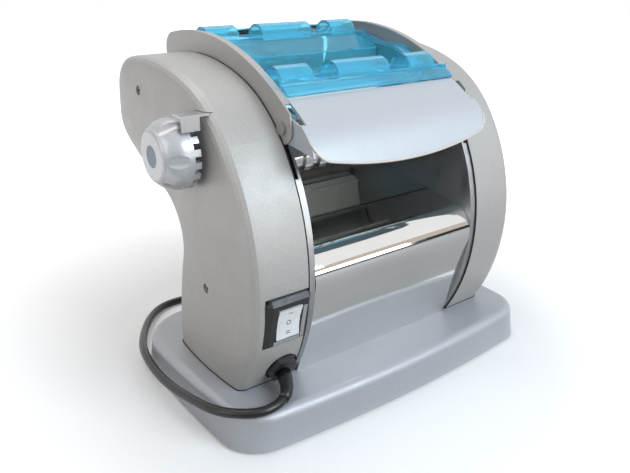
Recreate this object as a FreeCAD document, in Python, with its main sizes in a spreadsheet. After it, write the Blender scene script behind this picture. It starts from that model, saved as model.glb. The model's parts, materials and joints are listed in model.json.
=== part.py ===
import FreeCAD
import Part
import math
import os
import re

import Sketcher

# Electric pasta maker, in millimetres. +X runs along the rollers, +Y to the back, +Z up.
# The machine is drawn with x = 0 midway between its side plates and z = 0 on the table;
# frame_x and frame_y move every piece to the row's origin under the middle of its box.

V = FreeCAD.Vector

SIZES = {
    "frame_x": 1.0,
    "frame_y": -22.2,
    # Base
    "base_half_length": 156.0,
    "base_shift": 2.5,
    "base_front": 89.6,
    "base_back": 106.0,
    "base_top": 30.0,
    "base_rim": 1.5,
    "base_corner": 32.0,
    "base_rear_corner": 45.0,
    "base_edge": 7.0,
    "base_draft": 6.0,
    "base_wall": 3.0,
    "foot_x": 118.0,
    "foot_radius": 9.0,
    "foot_height": 5.0,
    "foot_stem": 3.0,
    # Side plates and what they carry
    "inner_half": 80.0,
    "plate_wall": 2.0,
    "plate_inset": 0.8,
    "strip_width": 5.2,
    "strip_wall": 1.6,
    "strip_top": 186.0,
    "foot_flange": 12.0,
    "end_gap": 0.3,
    "run_gap": 0.05,
    "pin_gap": 0.2,
    "sheet_wall": 1.0,
    "rod_radius": 4.0,
    "rod_end": 3.0,
    "nut_height": 3.0,
    "nut_radius": 5.5,
    # Casings
    "casing_start": 85.7,
    "casing_wall": 2.5,
    "casing_bulge": 132.9,
    # Smooth rollers
    "roller_radius": 15.0,
    "roller_space": 30.4,
    "roller_height": 215.0,
    "rear_roller_y": 53.2,
    "roller_half": 79.2,
    "roller_journal": 6.0,
    "bush_wall": 2.0,
    "roller_travel": 2.2,
    # Cutter rollers
    "cutter_radius": 12.5,
    "cutter_groove": 10.6,
    "cutter_space": 24.0,
    "cutter_journal": 5.0,
    "ring_width": 6.2,
    "ring_pitch": 13.0,
    "fine_radius": 11.85,
    "carriage_wall": 4.5,
    "carriage_half": 10.0,
    "carriage_length": 21.0,
    # Gears and motor
    "gear_module": 2.0,
    "gear_plane": 87.5,
    "gear_wall": 5.0,
    "stud_radius": 3.0,
    "bracket_plane": 94.0,
    "bracket_wall": 1.5,
    "motor_radius": 27.0,
    "motor_length": 84.0,
    "head_length": 13.0,
    "shaft_radius": 4.0,
    # Arches and hood
    "arch_radius": 207.0,
    "arch_y": 79.0,
    "arch_height": 64.5,
    "arch_band": 22.5,
    "arch_plane": 84.0,
    "arch_wall": 1.2,
    "arch_lip": 5.5,
    "pivot_inset": 14.0,
    "pivot_angle": 127.316,
    "pivot_lug": 11.0,
    "pivot_radius": 2.5,
    "hood_plane": 82.4,
    "hood_wall": 1.2,
    "hood_sheet": 1.6,
    # Guard over the hopper
    "guard_wall": 2.0,
    "ridge_radius": 12.0,
    "guard_half": 79.0,
    # Thickness knob and its spindle
    "knob_reach": 18.0,
    "knob_drop": 14.0,
    "knob_plane": 136.5,
    "knob_depth": 24.0,
    "knob_radius": 25.0,
    "knob_face": 15.5,
    "knob_cap": 7.5,
    "notch_width": 4.0,
    "notch_depth": 4.5,
    "spindle_radius": 3.4,
    "cam_radius": 9.0,
    "dent_radius": 8.0,
    "spindle_short": 10.0,
    "index_ahead": 14.8,
    "index_gap": 2.0,
    "index_wall": 1.5,
    "bracket_width": 13.0,
    # Screws that hold the casings
    "screw_radius": 2.0,
    "screw_head": 3.6,
    "screw_sink": 3.2,
    "boss_radius": 6.0,
    "boss_length": 12.0,
    "post_radius": 4.0,
    # Switch and gland
    "switch_x": -103.5,
    "switch_y": -65.0,
    "switch_height": 92.5,
    "switch_body_width": 27.0,
    "switch_body_tall": 33.0,
    "switch_depth": 22.0,
    "bezel_width": 36.0,
    "bezel_tall": 41.0,
    "bezel_proud": 5.5,
    "bezel_sunk": 6.0,
    "bezel_bevel": 3.2,
    "rocker_width": 19.0,
    "rocker_tall": 25.0,
    "gland_x": -99.1,
    "gland_y": -50.4,
    "gland_height": 46.8,
    "gland_seat": 1.0,
    "gland_thread": 8.0,
    "gland_flange": 13.0,
    "gland_lip": 1.2,
    "gland_across": 22.0,
    "gland_length": 4.6,
    "cord_radius": 3.5,
    "cord_gap": 0.1,
    "coil_x": 62.0,
    "coil_y": 172.0,
    "coil_outer": 46.0,
    "coil_pitch": 7.6,
    "coil_lead": 26.0,
    "plug_radius": 10.5,
    "plug_length": 34.0,
    "plug_pin": 2.4,
    "pin_length": 19.0,
    "pin_space": 12.0,
}

# Tooth counts of the gear train
TEETH = {
    "pinion": 10,
    "lower_idler": 24,
    "upper_idler": 18,
    "roller_gear": 15,
    "cutter_idler": 8,
    "cutter_gear": 12,
}
BACKLASH = 0.35
ADDENDUM = 0.85
DEDENDUM = 1.15
PRESSURE_ANGLE = math.radians(20)

# Sizes worked out from the sheet's, under names of their own
RULES = {
    "carriage_front": "(rear_roller_y - roller_space - knob_reach + cam_radius + end_gap)",
    "front_roller_y": "(rear_roller_y - roller_space)",
    "carriage_plane": "(inner_half + plate_wall + end_gap)",
    "knob_y": "(rear_roller_y - roller_space - knob_reach)",
    "knob_height": "(roller_height - knob_drop)",
    "index_y": "(rear_roller_y - roller_space - knob_reach - index_ahead)",
    "index_height": "(roller_height - knob_drop + knob_radius + index_gap)",
    "pivot_y": "(arch_y + (arch_radius - pivot_inset) * cos(pivot_angle))",
    "pivot_height": "(arch_height + (arch_radius - pivot_inset) * sin(pivot_angle))",
}

doc = FreeCAD.newDocument("PastaMaker")
sheet = doc.addObject("Spreadsheet::Sheet", "Sizes")
for row, (alias, size) in enumerate(SIZES.items(), start=1):
    sheet.set("A%d" % row, alias)
    sheet.set("B%d" % row, str(size))
    sheet.setAlias("B%d" % row, alias)
doc.recompute()

subparts = []


def spelled(rule):
    """The rule with the worked-out names written in sizes of the sheet."""
    return re.sub(r"[a-z_]+", lambda word: RULES.get(word.group(0), word.group(0)), str(rule))


def full(rule):
    """The rule with each size named as a cell of the sheet."""
    cell = lambda word: "Sizes." + word.group(0) if word.group(0) in SIZES else word.group(0)
    return re.sub(r"[a-z_]+", cell, spelled(rule))


def value(rule):
    return float(sheet.evalExpression(spelled(rule)))


def bind(thing, prop, rule):
    thing.setExpression(prop, full(rule))


def place(thing, x="0", y="0", z="0", turn=None):
    """Puts a sub-part in the row's frame, from its place in the machine's."""
    if turn is not None:
        thing.Placement = FreeCAD.Placement(V(0, 0, 0), turn)
    bind(thing, "Placement.Base.x", "frame_x + (%s)" % x)
    bind(thing, "Placement.Base.y", "frame_y + (%s)" % y)
    bind(thing, "Placement.Base.z", z)


def keep(thing, name):
    thing.Label = name
    subparts.append(thing)
    return thing


# Turns a body's own z axis along +X, its x to +Y and its y to +Z
AXLE_TURN = FreeCAD.Rotation(V(1, 1, 1), 120)


# Sketches and solid features

def new_body(name, x="0", y="0", z="0", turn=None):
    body = doc.addObject("PartDesign::Body", name)
    place(body, x, y, z, turn)
    return keep(body, name)


def sketch(body, plane, lift="0"):
    found = [f for f in body.Origin.OriginFeatures if f.Role == plane + "_Plane"][0]
    made = body.newObject("Sketcher::SketchObject", body.Name + "_sketch")
    made.AttachmentSupport = [(found, "")]
    made.MapMode = "FlatFace"
    bind(made, "AttachmentOffset.Base.z", lift)
    return made


def tie(made, kind, *rest):
    """A constraint whose last argument is a rule that stays bound to the sheet."""
    rule = rest[-1]
    number = made.addConstraint(Sketcher.Constraint(kind, *rest[:-1], value(rule)))
    made.setExpression("Constraints[%d]" % number, full(rule))


def polygon(made, corners):
    """A closed straight-sided outline with every corner's place bound."""
    first = made.GeometryCount
    count = len(corners)
    points = [V(value(u), value(v), 0) for u, v in corners]
    for i in range(count):
        made.addGeometry(Part.LineSegment(points[i], points[(i + 1) % count]), False)
    for i in range(count):
        made.addConstraint(Sketcher.Constraint("Coincident", first + i, 2, first + (i + 1) % count, 1))
    for i, (u, v) in enumerate(corners):
        tie(made, "DistanceX", -1, 1, first + i, 1, u)
        tie(made, "DistanceY", -1, 1, first + i, 1, v)
    return made


def box_outline(made, u0, u1, v0, v1):
    return polygon(made, [(u0, v0), (u1, v0), (u1, v1), (u0, v1)])


def circle(made, u, v, radius):
    number = made.addGeometry(Part.Circle(V(value(u), value(v), 0), V(0, 0, 1), value(radius)), False)
    tie(made, "Radius", number, radius)
    tie(made, "DistanceX", -1, 1, number, 3, u)
    tie(made, "DistanceY", -1, 1, number, 3, v)
    return made


def free_outline(made, edges):
    """A closed outline of tangent arcs and lines, as worked out by the functions below."""
    made.addGeometry(edges, False)
    return made


def pad(body, made, length, both_ways=False, back=False):
    feature = body.newObject("PartDesign::Pad", body.Name + "_pad")
    feature.Profile = made
    bind(feature, "Length", length)
    feature.Midplane = both_ways
    feature.Reversed = back
    doc.recompute()
    return feature


def pocket(body, made, depth, both_ways=False, back=False):
    before = body.Shape.Volume
    feature = body.newObject("PartDesign::Pocket", body.Name + "_pocket")
    feature.Profile = made
    bind(feature, "Length", depth)
    feature.Midplane = both_ways
    feature.Reversed = back
    doc.recompute()
    if body.Shape.Volume > before - 0.01:
        raise RuntimeError("a pocket cuts nothing in " + body.Name)
    return feature


def polar(body, feature, count):
    pattern = body.newObject("PartDesign::PolarPattern", body.Name + "_polar")
    pattern.Originals = [feature]
    pattern.Axis = ([f for f in body.Origin.OriginFeatures if f.Role == "Z_Axis"][0], [""])
    pattern.Angle = 360
    pattern.Occurrences = count
    body.Tip = pattern
    doc.recompute()
    return pattern


def turned(body, made):
    """Revolves an outline about the body's z axis."""
    feature = body.newObject("PartDesign::Revolution", body.Name + "_turned")
    feature.Profile = made
    feature.ReferenceAxis = (made, ["V_Axis"])
    feature.Angle = 360
    doc.recompute()
    return feature


def rod(radius, start, end, y, z):
    """A cylinder along X from start to end."""
    made = doc.addObject("Part::Cylinder", "rod")
    made.Placement = FreeCAD.Placement(V(0, 0, 0), FreeCAD.Rotation(V(0, 1, 0), 90))
    bind(made, "Radius", radius)
    bind(made, "Height", "(%s) - (%s)" % (end, start))
    bind(made, "Placement.Base.x", start)
    bind(made, "Placement.Base.y", y)
    bind(made, "Placement.Base.z", z)
    return made


def post(radius, x, y, start, end):
    """A cylinder along Z from start to end."""
    made = doc.addObject("Part::Cylinder", "post")
    bind(made, "Radius", radius)
    bind(made, "Height", "(%s) - (%s)" % (end, start))
    bind(made, "Placement.Base.x", x)
    bind(made, "Placement.Base.y", y)
    bind(made, "Placement.Base.z", start)
    return made


def block(x, y, z):
    """A box from pairs of low and high rules."""
    made = doc.addObject("Part::Box", "block")
    for prop, letter, (low, high) in (("Length", "x", x), ("Width", "y", y), ("Height", "z", z)):
        bind(made, prop, "(%s) - (%s)" % (high, low))
        bind(made, "Placement.Base." + letter, low)
    return made


def join(pieces):
    made = doc.addObject("Part::MultiFuse", "join")
    made.Shapes = pieces
    return made


def cut(base, tool):
    made = doc.addObject("Part::Cut", "cut")
    made.Base = base
    made.Tool = tool
    return made


def group(name, pieces):
    """One sub-part of one or more separate solids in the machine's place."""
    made = doc.addObject("Part::Compound", name)
    made.Links = pieces
    place(made)
    return keep(made, name)


def shaped(name, shape):
    """A sub-part whose form is worked out by code from the sheet's sizes."""
    made = doc.addObject("Part::Feature", name)
    made.Shape = shape
    place(made)
    return keep(made, name)


# Side profile: runs of tangent arcs in (y, z)

def arc_middle(start, direction, end):
    """Middle of the arc that leaves start along direction, and its direction at the end."""
    chord = end - start
    along = V(chord).normalize()
    side = direction - along * direction.dot(along)
    leave = along * (2 * direction.dot(along)) - direction
    if side.Length < 1e-6:
        return (start + end) * 0.5, leave
    rise = chord.Length / 2 * math.tan(direction.getAngle(chord) / 2)
    return (start + end) * 0.5 + side.normalize() * rise, leave


def tangent_run(points, direction):
    """Each point of a smooth run of arcs, with the run's direction there."""
    places = [V(y, z, 0) for y, z in points]
    run = [(places[0], V(direction[0], direction[1], 0).normalize())]
    for end in places[1:]:
        _, leave = arc_middle(run[-1][0], run[-1][1], end)
        run.append((end, leave.normalize()))
    return run


def reverse(run):
    return [(point, direction * -1) for point, direction in reversed(run)]


def inset(run, depth):
    """The run moved to the right of its direction, which is inwards for the casing."""
    return [(p + V(d.y, -d.x, 0) * depth, d) for p, d in run]


def middles(run):
    return [arc_middle(a[0], a[1], b[0])[0] for a, b in zip(run, run[1:])]


def arcs(run):
    edges = []
    for (start, direction), (end, _) in zip(run, run[1:]):
        middle, _ = arc_middle(start, direction, end)
        straight = (middle - (start + end) * 0.5).Length < 1e-4
        edges.append(Part.LineSegment(start, end) if straight else Part.Arc(start, middle, end))
    return edges


def ribbon(run, outer, wall):
    """Closed outline of a sheet that follows the run, its outer face inset by outer."""
    front = inset(run, outer)
    back = inset(run, outer + wall)
    ends = [Part.LineSegment(front[-1][0], back[-1][0]), Part.LineSegment(back[0][0], front[0][0])]
    return arcs(front) + [ends[0]] + arcs(reverse(back)) + [ends[1]]


def closed(run):
    """The run's arcs and the straight line that joins its ends."""
    return arcs(run) + [Part.LineSegment(run[-1][0], run[0][0])]


# The casing's outline starts at the top and runs down its front and down its back.
CASING_FRONT = [(75, 255.5), (10, 244.5), (-37, 211), (-69.5, 122), (-44.5, 30)]
CASING_BACK = [(75, 255.5), (108, 253), (132, 228), (134, 207), (124, 187), (62, 159.5), (37, 112), (50, 30)]
# The ridge that the bulged end face closes on, one point for each of the outline's
SPINE = [(3, 30), (-15, 122), (10, 186), (40, 203), (75, 212), (92, 214), (102, 210), (104, 206),
         (96, 202), (30, 165), (-12, 118), (3, 30)]
# How far towards the ridge, and how far out between the soft edge and the full bulge
OUTER_SWELL = [(0.0, 0.0), (0.006, 0.78), (0.014, 0.84), (0.040, 0.896), (0.085, 0.932), (0.14, 0.948),
               (0.28, 0.965), (0.48, 0.981), (0.70, 0.994), (0.88, 1.0)]
INNER_SWELL = [(0.0, 0.0), (0.006, 0.82), (0.09, 0.932), (0.40, 0.968), (0.88, 0.99)]


def casing_run():
    front = tangent_run(CASING_FRONT, (-1, 0))
    back = tangent_run(CASING_BACK, (1, 0))
    return reverse(front)[:-1] + back


PROFILE = casing_run()
FRONT_RUN = reverse(tangent_run(CASING_FRONT, (-1, 0)))


def upright(place_2d, x):
    return V(x, place_2d.x, place_2d.y)


def bulged_section(run, share, x):
    """A closed section of the casing at x, drawn in towards the ridge by the share."""
    spine = [V(y, z, 0) for y, z in SPINE]
    points = [p + (s - p) * share for (p, _), s in zip(run, spine)]
    centres = [(a + b) * 0.5 for a, b in zip(spine, spine[1:])]
    mids = [m + (s - m) * share for m, s in zip(middles(run), centres)]
    edges = []
    for a, m, b in zip(points, mids, points[1:]):
        edges.append(Part.Arc(upright(a, x), upright(m, x), upright(b, x)).toShape())
    edges.append(Part.LineSegment(upright(points[-1], x), upright(points[0], x)).toShape())
    return Part.Wire(edges)


def open_below(run):
    """The run with its two ends carried on along their tangents to below the base's top."""
    level = value("base_top") - 1.0
    ends = []
    for point, direction in (run[0], run[-1]):
        ends.append((point + direction * ((level - point.y) / direction.y), direction))
    return [ends[0]] + run[1:-1] + [ends[1]]


def bulged_solid(side, depth, start, swell):
    """The pillow-shaped casing block, its faces inset by depth."""
    run = inset(PROFILE, depth)
    if depth > 0:
        run = open_below(run)
    reach = value("casing_bulge") - value("casing_start") - depth
    sections = []
    for share, out in swell:
        x = start if out == 0 else value("casing_start") + reach * out
        sections.append(bulged_section(run, share, side * x))
    return Part.makeLoft(sections, True, True)


def tool_rod(radius, start, end, y, z):
    return Part.makeCylinder(radius, abs(end - start), V(min(start, end), y, z), V(1, 0, 0))


# Base: a drafted tray, hollow below, with four posts for the feet

def crowned(half_length, front, back, shrink, middle):
    """Rounded rectangle with bowed sides, drawn in by shrink, in plain (x, y)."""
    bow_side, bow_end = 9.0, 4.5
    x0, x1 = middle - half_length + shrink, middle + half_length - shrink
    y0, y1 = -front + shrink, back - shrink
    corners = [V(x0 + bow_end, y0 + bow_side, 0), V(x1 - bow_end, y0 + bow_side, 0),
               V(x1 - bow_end, y1 - bow_side, 0), V(x0 + bow_end, y1 - bow_side, 0)]
    crowns = [V(middle, y0, 0), V(x1, (y0 + y1) / 2, 0), V(middle, y1, 0), V(x0, (y0 + y1) / 2, 0)]
    edges = []
    for i in range(4):
        edges.append(Part.Arc(corners[i], crowns[i], corners[(i + 1) % 4]))
    return edges


def base_outline(shrink):
    return crowned(value("base_half_length"), value("base_front"), value("base_back"), shrink,
                   value("base_shift"))


def picked(body, wanted):
    """Names of the body's edges whose two ends the test accepts."""
    names = []
    for number, edge in enumerate(body.Shape.Edges, start=1):
        ends = [vertex.Point for vertex in edge.Vertexes]
        if wanted(ends[0], ends[-1]):
            names.append("Edge%d" % number)
    return names


def dressed(body, kind, name, edges, prop, size):
    """A fillet or chamfer on the named edges of the body as it stands."""
    last = body.Tip
    feature = body.newObject("PartDesign::" + kind, name)
    feature.Base = (last, edges)
    bind(feature, prop, size)
    doc.recompute()
    return feature


def tray(name, shrink, low, high):
    """A drafted block with bowed sides and round corners, drawn in by shrink."""
    body = doc.addObject("PartDesign::Body", name)
    outline = free_outline(sketch(body, "XY", low), base_outline(value(shrink)))
    block_pad = pad(body, outline, "(%s) - (%s)" % (high, low))
    block_pad.TaperAngle = -value("base_draft")
    doc.recompute()
    slanted = lambda a, b: abs(a.z - b.z) > 5
    front_corners = picked(body, lambda a, b: slanted(a, b) and a.y < 0)
    dressed(body, "Fillet", name + "_front", front_corners, "Radius", "base_corner - (%s)" % shrink)
    rear_corners = picked(body, lambda a, b: slanted(a, b) and a.y > 60)
    dressed(body, "Fillet", name + "_rear", rear_corners, "Radius", "base_rear_corner - (%s)" % shrink)
    return body


def base_shell():
    body = keep(tray("base_shell", "0", "base_rim", "base_top"), "base_shell")
    top = value("base_top") - 0.01
    rim = picked(body, lambda a, b: min(a.z, b.z) > top)
    dressed(body, "Fillet", "base_soft_rim", rim, "Radius", "base_edge")
    place(body)
    inside = tray("base_inside", "base_wall", "base_rim - 1", "base_top - base_wall")
    hollow = body.newObject("PartDesign::Boolean", "base_hollow")
    hollow.setObjects([inside])
    hollow.Type = "Cut"
    doc.recompute()
    posts = sketch(body, "XY", "foot_height")
    for x in ("base_shift - foot_x", "base_shift + foot_x"):
        for y in FOOT_ROWS:
            circle(posts, x, y, "foot_radius - 1")
    pad(body, posts, "base_top - base_wall - foot_height + 0.5")
    stems = sketch(body, "XY", "foot_height")
    for x in ("base_shift - foot_x", "base_shift + foot_x"):
        for y in FOOT_ROWS:
            circle(stems, x, y, "foot_stem + pin_gap")
    pocket(body, stems, "foot_height + 3", back=True)
    holes = sketch(body, "XY", "base_rim")
    for x, y in base_screw_places():
        circle(holes, x, y, "2 + pin_gap")
    pocket(body, holes, "base_top", back=True)


FOOT_ROWS = ("-base_front + 32", "base_back - 34")


def base_screw_places():
    places = []
    for side in ("-", ""):
        for y in ("-18", "28"):
            places.append((side + "(inner_half + foot_flange - 4.5)", y))
    return places


def rubber_feet():
    feet = []
    for x in ("base_shift - foot_x", "base_shift + foot_x"):
        for y in FOOT_ROWS:
            sole = post("foot_radius", x, y, "0", "foot_height")
            stem = post("foot_stem", x, y, "foot_height - 1", "2 * foot_height + 1")
            feet.append(join([sole, stem]))
    group("rubber_feet", feet)


def base_screws():
    screws = []
    for x, y in base_screw_places():
        head = post("3.6", x, y, "base_top - base_wall - 2.6", "base_top - base_wall")
        shank = post("2", x, y, "base_top - base_wall - 1", "base_top + plate_wall + 4")
        nut = post("3.8", x, y, "base_top + plate_wall", "base_top + plate_wall + 3")
        screws.append(join([head, shank, nut]))
    group("base_screws", screws)


# Places that the roller and gear pieces share, in (y, z)

CUTTER_SLANT = 226.5


def by_roller(y, z):
    """A place measured from the rear roller's axis, so that the drive goes with the rollers."""
    return V(value("rear_roller_y") + y, value("roller_height") + z, 0)


def pitch(name):
    return value("gear_module") * TEETH[name] / 2


def between(first, first_reach, second, second_reach, side):
    """The place at the two reaches from two others, to the left or right of the way there."""
    way = second - first
    along = (first_reach ** 2 - second_reach ** 2 + way.Length ** 2) / (2 * way.Length)
    across = math.sqrt(first_reach ** 2 - along ** 2) * side
    unit = V(way).normalize()
    return first + unit * along + V(-unit.y, unit.x, 0) * across


def polar_place(centre, reach, degrees):
    turn = math.radians(degrees)
    return centre + V(math.cos(turn), math.sin(turn), 0) * reach


REAR = by_roller(0, 0)
FRONT = by_roller(-value("roller_space"), 0)
CUTTER_REAR = by_roller(-62.7, -4)
CUTTER_FRONT = polar_place(CUTTER_REAR, value("cutter_space"), CUTTER_SLANT)
MOTOR_AXIS = by_roller(-65.2, -127.1)
PINION = by_roller(-54.2, -92)
UPPER_IDLER = polar_place(REAR, pitch("roller_gear") + pitch("upper_idler"), 252)
LOWER_IDLER = between(PINION, pitch("pinion") + pitch("lower_idler"),
                      UPPER_IDLER, pitch("upper_idler") + pitch("lower_idler"), 1)
CUTTER_IDLER_TOP = polar_place(CUTTER_FRONT, pitch("cutter_gear") + pitch("cutter_idler"), 270)
CUTTER_IDLER_LOW = between(CUTTER_IDLER_TOP, 2 * pitch("cutter_idler"), LOWER_IDLER,
                           pitch("lower_idler") + pitch("cutter_idler"), -1)
KNOB_AXIS = V(value("knob_y"), value("knob_height"), 0)
PIVOT = V(value("pivot_y"), value("pivot_height"), 0)
TIE_RODS = [V(-38, 122, 0), V(24, 62, 0), V(104, 226, 0)]
STUDS = [LOWER_IDLER, UPPER_IDLER, CUTTER_IDLER_LOW, CUTTER_IDLER_TOP]
STANDOFFS = [by_roller(y, z) for y, z in ((-101.2, -83), (-101.2, -61), (-26.2, -117), (20.8, -19))]
GUARD_SCREWS = [V(22, 243, 0), V(84, 248, 0)]
ARCH_SCREWS = [V(10, 239, 0), V(112, 236, 0)]
CASING_SCREWS = [V(85, 230, 0), V(-7, 100.5, 0)]


# Side plates: sheet with an outward strip along the front and a foot flange

def upper_run(run, height):
    """The run cut off at a height, its last arc shortened."""
    kept = [run[0]]
    for (start, direction), (end, leave) in zip(run, run[1:]):
        if end.y <= height:
            kept.append((end, leave))
            continue
        middle, _ = arc_middle(start, direction, end)
        curve = Part.Arc(start, middle, end).toShape()
        level = Part.makeLine(V(-500, height, 0), V(500, height, 0))
        hit = curve.distToShape(level)[1][0][0]
        centre = curve.Curve.Center
        spin = 1 if direction.cross(V(hit - start)).z > 0 else -1
        arm = hit - centre
        kept.append((hit, V(-arm.y * spin, arm.x * spin, 0).normalize()))
        break
    return kept


def side_plate(name, side):
    body = new_body(name)
    inner = "inner_half" if side > 0 else "-(inner_half + plate_wall)"
    plate = free_outline(sketch(body, "YZ", inner), closed(inset(PROFILE, value("plate_inset"))))
    pad(body, plate, "plate_wall")
    lug = circle(sketch(body, "YZ", inner), "pivot_y", "pivot_height", "pivot_lug - 1.5")
    pad(body, lug, "plate_wall")
    edge = "inner_half" if side > 0 else "-(inner_half + strip_width)"
    strip_run = upper_run(FRONT_RUN, value("strip_top"))
    strip = free_outline(sketch(body, "YZ", edge), ribbon(strip_run, value("plate_inset"), value("strip_wall")))
    pad(body, strip, "strip_width")
    foot = sketch(body, "XY", "base_top")
    low = "inner_half + 0.5" if side > 0 else "-(inner_half + foot_flange)"
    high = "inner_half + foot_flange" if side > 0 else "-(inner_half + 0.5)"
    box_outline(foot, low, high, "-30", "40")
    pad(body, foot, "plate_wall")
    holes = sketch(body, "YZ", inner)
    circle(holes, "rear_roller_y", "roller_height", "roller_journal + bush_wall + pin_gap")
    circle(holes, CUTTER_REAR.x, CUTTER_REAR.y, "cutter_journal + bush_wall + pin_gap")
    circle(holes, CUTTER_FRONT.x, CUTTER_FRONT.y, "cutter_journal + bush_wall + pin_gap")
    circle(holes, "knob_y", "knob_height", "spindle_radius + run_gap")
    circle(holes, "pivot_y", "pivot_height", "pivot_radius + pin_gap")
    for place_2d in TIE_RODS:
        circle(holes, place_2d.x, place_2d.y, "rod_end + pin_gap")
    for place_2d in GUARD_SCREWS + ARCH_SCREWS:
        circle(holes, place_2d.x, place_2d.y, "1.5 + pin_gap")
    if side < 0:
        circle(holes, PINION.x, PINION.y, "shaft_radius + 2")
        for place_2d in STUDS + STANDOFFS:
            circle(holes, place_2d.x, place_2d.y, "2 + pin_gap")
    pocket(body, holes, "plate_wall", back=True)
    # The slot lets the front roller's journal move with its carriage
    slot = sketch(body, "YZ", inner)
    box_outline(slot, "rear_roller_y - roller_space - roller_journal - roller_travel - 1",
                "rear_roller_y - roller_space + roller_journal + 1",
                "roller_height - roller_journal - 1", "roller_height + roller_journal + 1")
    pocket(body, slot, "plate_wall", back=True)
    screws = sketch(body, "XY", "base_top")
    for x, y in base_screw_places():
        if (side < 0) == x.startswith("-"):
            circle(screws, x, y, "2 + pin_gap")
    pocket(body, screws, "plate_wall", back=True)
    # Rails above and below the carriage
    rails = sketch(body, "YZ", "inner_half + plate_wall" if side > 0 else
                   "-(inner_half + plate_wall + carriage_wall)")
    for low, high in (("roller_height - carriage_half - 3", "roller_height - carriage_half - run_gap"),
                      ("roller_height + carriage_half + run_gap", "roller_height + carriage_half + 3")):
        box_outline(rails, "carriage_front + 9", "carriage_front + carriage_length - 1", low, high)
    pad(body, rails, "carriage_wall")


# Front apron, chute and rear panel between the plates

APRON = [(-46, 30), (-58.3, 68), (-68.6, 108), (-62, 129.8), (-50, 135.2), (-20, 139.5)]
CHUTE = [(-19, 140.0), (20, 146.5), (60, 170), (76, 190)]


def between_plates(name, outline):
    body = new_body(name)
    made = free_outline(sketch(body, "YZ"), outline)
    pad(body, made, "2 * (inner_half - end_gap)", both_ways=True)
    return body


def front_apron():
    run = tangent_run(APRON, (-0.34, 0.94))
    between_plates("front_apron", ribbon(run, 0, value("sheet_wall")))


def outlet_chute():
    run = tangent_run(CHUTE, (1, 0.1))
    between_plates("outlet_chute", ribbon(run, 0, value("sheet_wall")))


def rear_panel():
    back = reverse(tangent_run(CASING_BACK, (1, 0)))[:4]
    body = between_plates("rear_panel", ribbon(reverse(back), 1.0, value("sheet_wall")))
    return body


def rear_cover():
    """Curved cover between the arches behind the guard."""
    centre = V(value("arch_y"), value("arch_height"), 0)
    reach = value("arch_radius") - value("arch_wall") - 0.3
    start = V(104, centre.y + math.sqrt(reach ** 2 - (104 - centre.x) ** 2), 0)
    tangent = V(start.y - centre.y, centre.x - start.x, 0)
    points = [(start.x, start.y), (119, centre.y + math.sqrt(reach ** 2 - 40.0 ** 2)), (132, 250), (133, 212),
              (125.5, 190)]
    run = tangent_run(points, (tangent.x, tangent.y))
    between_plates("rear_cover", ribbon(run, 0, value("sheet_wall") + 0.2))


# Arches: a band over each side plate, with a lip turned in over its edge

ARCH_SPAN = (value("pivot_angle") + 0.184, 78.9)
LIP_START = value("pivot_angle") - 2.3


def arch_outline(outer, band):
    """Closed outline of the band from the pivot tab to the rear corner, in (y, z)."""
    centre = V(value("arch_y"), value("arch_height"), 0)
    point = lambda reach, degrees: polar_place(centre, reach, degrees)
    tab = value("pivot_lug")
    near = outer - band
    start, end = ARCH_SPAN
    rear_top = point(outer, end)
    edges = [Part.Arc(point(outer, start), point(outer, (start + end) / 2), rear_top)]
    back, floor = rear_top.x + 12.5, rear_top.y - 38.63
    down = V(back, rear_top.y - 14, 0)
    edges.append(Part.Arc(rear_top, V(back - 3.4, rear_top.y - 5.0, 0), down))
    low, inner_end = V(back, floor, 0), V(rear_top.x - 6.85, floor, 0)
    edges += [Part.LineSegment(down, low), Part.LineSegment(low, inner_end)]
    reach = (inner_end - centre).Length
    tab_back = polar_place(PIVOT, tab, -10)
    edges.append(Part.Arc(inner_end, point((reach + near) / 2 + 3, 92), tab_back))
    edges.append(Part.Arc(tab_back, polar_place(PIVOT, tab, 285), polar_place(PIVOT, tab, 190)))
    edges.append(Part.LineSegment(polar_place(PIVOT, tab, 190), point(outer, start)))
    return edges


def arch(name, side):
    body = new_body(name)
    lift = "arch_plane" if side > 0 else "-(arch_plane + arch_wall)"
    outer, band = value("arch_radius"), value("arch_band")
    flange = free_outline(sketch(body, "YZ", lift), arch_outline(outer, band))
    pad(body, flange, "arch_wall")
    # The lip turned in over the plate's edge, round the rear corner too
    centre = V(value("arch_y"), value("arch_height"), 0)
    wall = value("arch_wall")
    span = (LIP_START, ARCH_SPAN[1])
    start, end = [polar_place(centre, outer, angle) for angle in span]
    inner_start, inner_end = [polar_place(centre, outer - wall, angle) for angle in span]
    crown, inner_crown = polar_place(centre, outer, 100), polar_place(centre, outer - wall, 100)
    lip_edges = [Part.Arc(start, crown, end), Part.LineSegment(end, inner_end),
                 Part.Arc(inner_end, inner_crown, inner_start), Part.LineSegment(inner_start, start)]
    lip = free_outline(sketch(body, "YZ", "arch_plane + arch_wall - arch_lip" if side > 0 else
                              "-(arch_plane + arch_wall)"), lip_edges)
    pad(body, lip, "arch_lip")
    # Spacer rings that hold the band off the plate
    washers = sketch(body, "YZ", "inner_half + plate_wall + run_gap" if side > 0 else "-arch_plane")
    for place_2d in ARCH_SCREWS:
        circle(washers, place_2d.x, place_2d.y, "4")
    pad(body, washers, "arch_plane - inner_half - plate_wall - run_gap")
    holes = sketch(body, "YZ", "inner_half" if side > 0 else "-(arch_plane + arch_wall)")
    circle(holes, "pivot_y", "pivot_height", "pivot_radius + pin_gap")
    for place_2d in ARCH_SCREWS:
        circle(holes, place_2d.x, place_2d.y, "1.5 + pin_gap")
    pocket(body, holes, "arch_plane + arch_wall - inner_half", back=True)


def side_rod(side, radius, inner, outer, place_2d):
    """A rod standing along X on one side, between two distances from the middle."""
    low, high = (inner, outer) if side > 0 else ("-(%s)" % outer, "-(%s)" % inner)
    return rod(radius, low, high, place_2d.x, place_2d.y)


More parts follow.
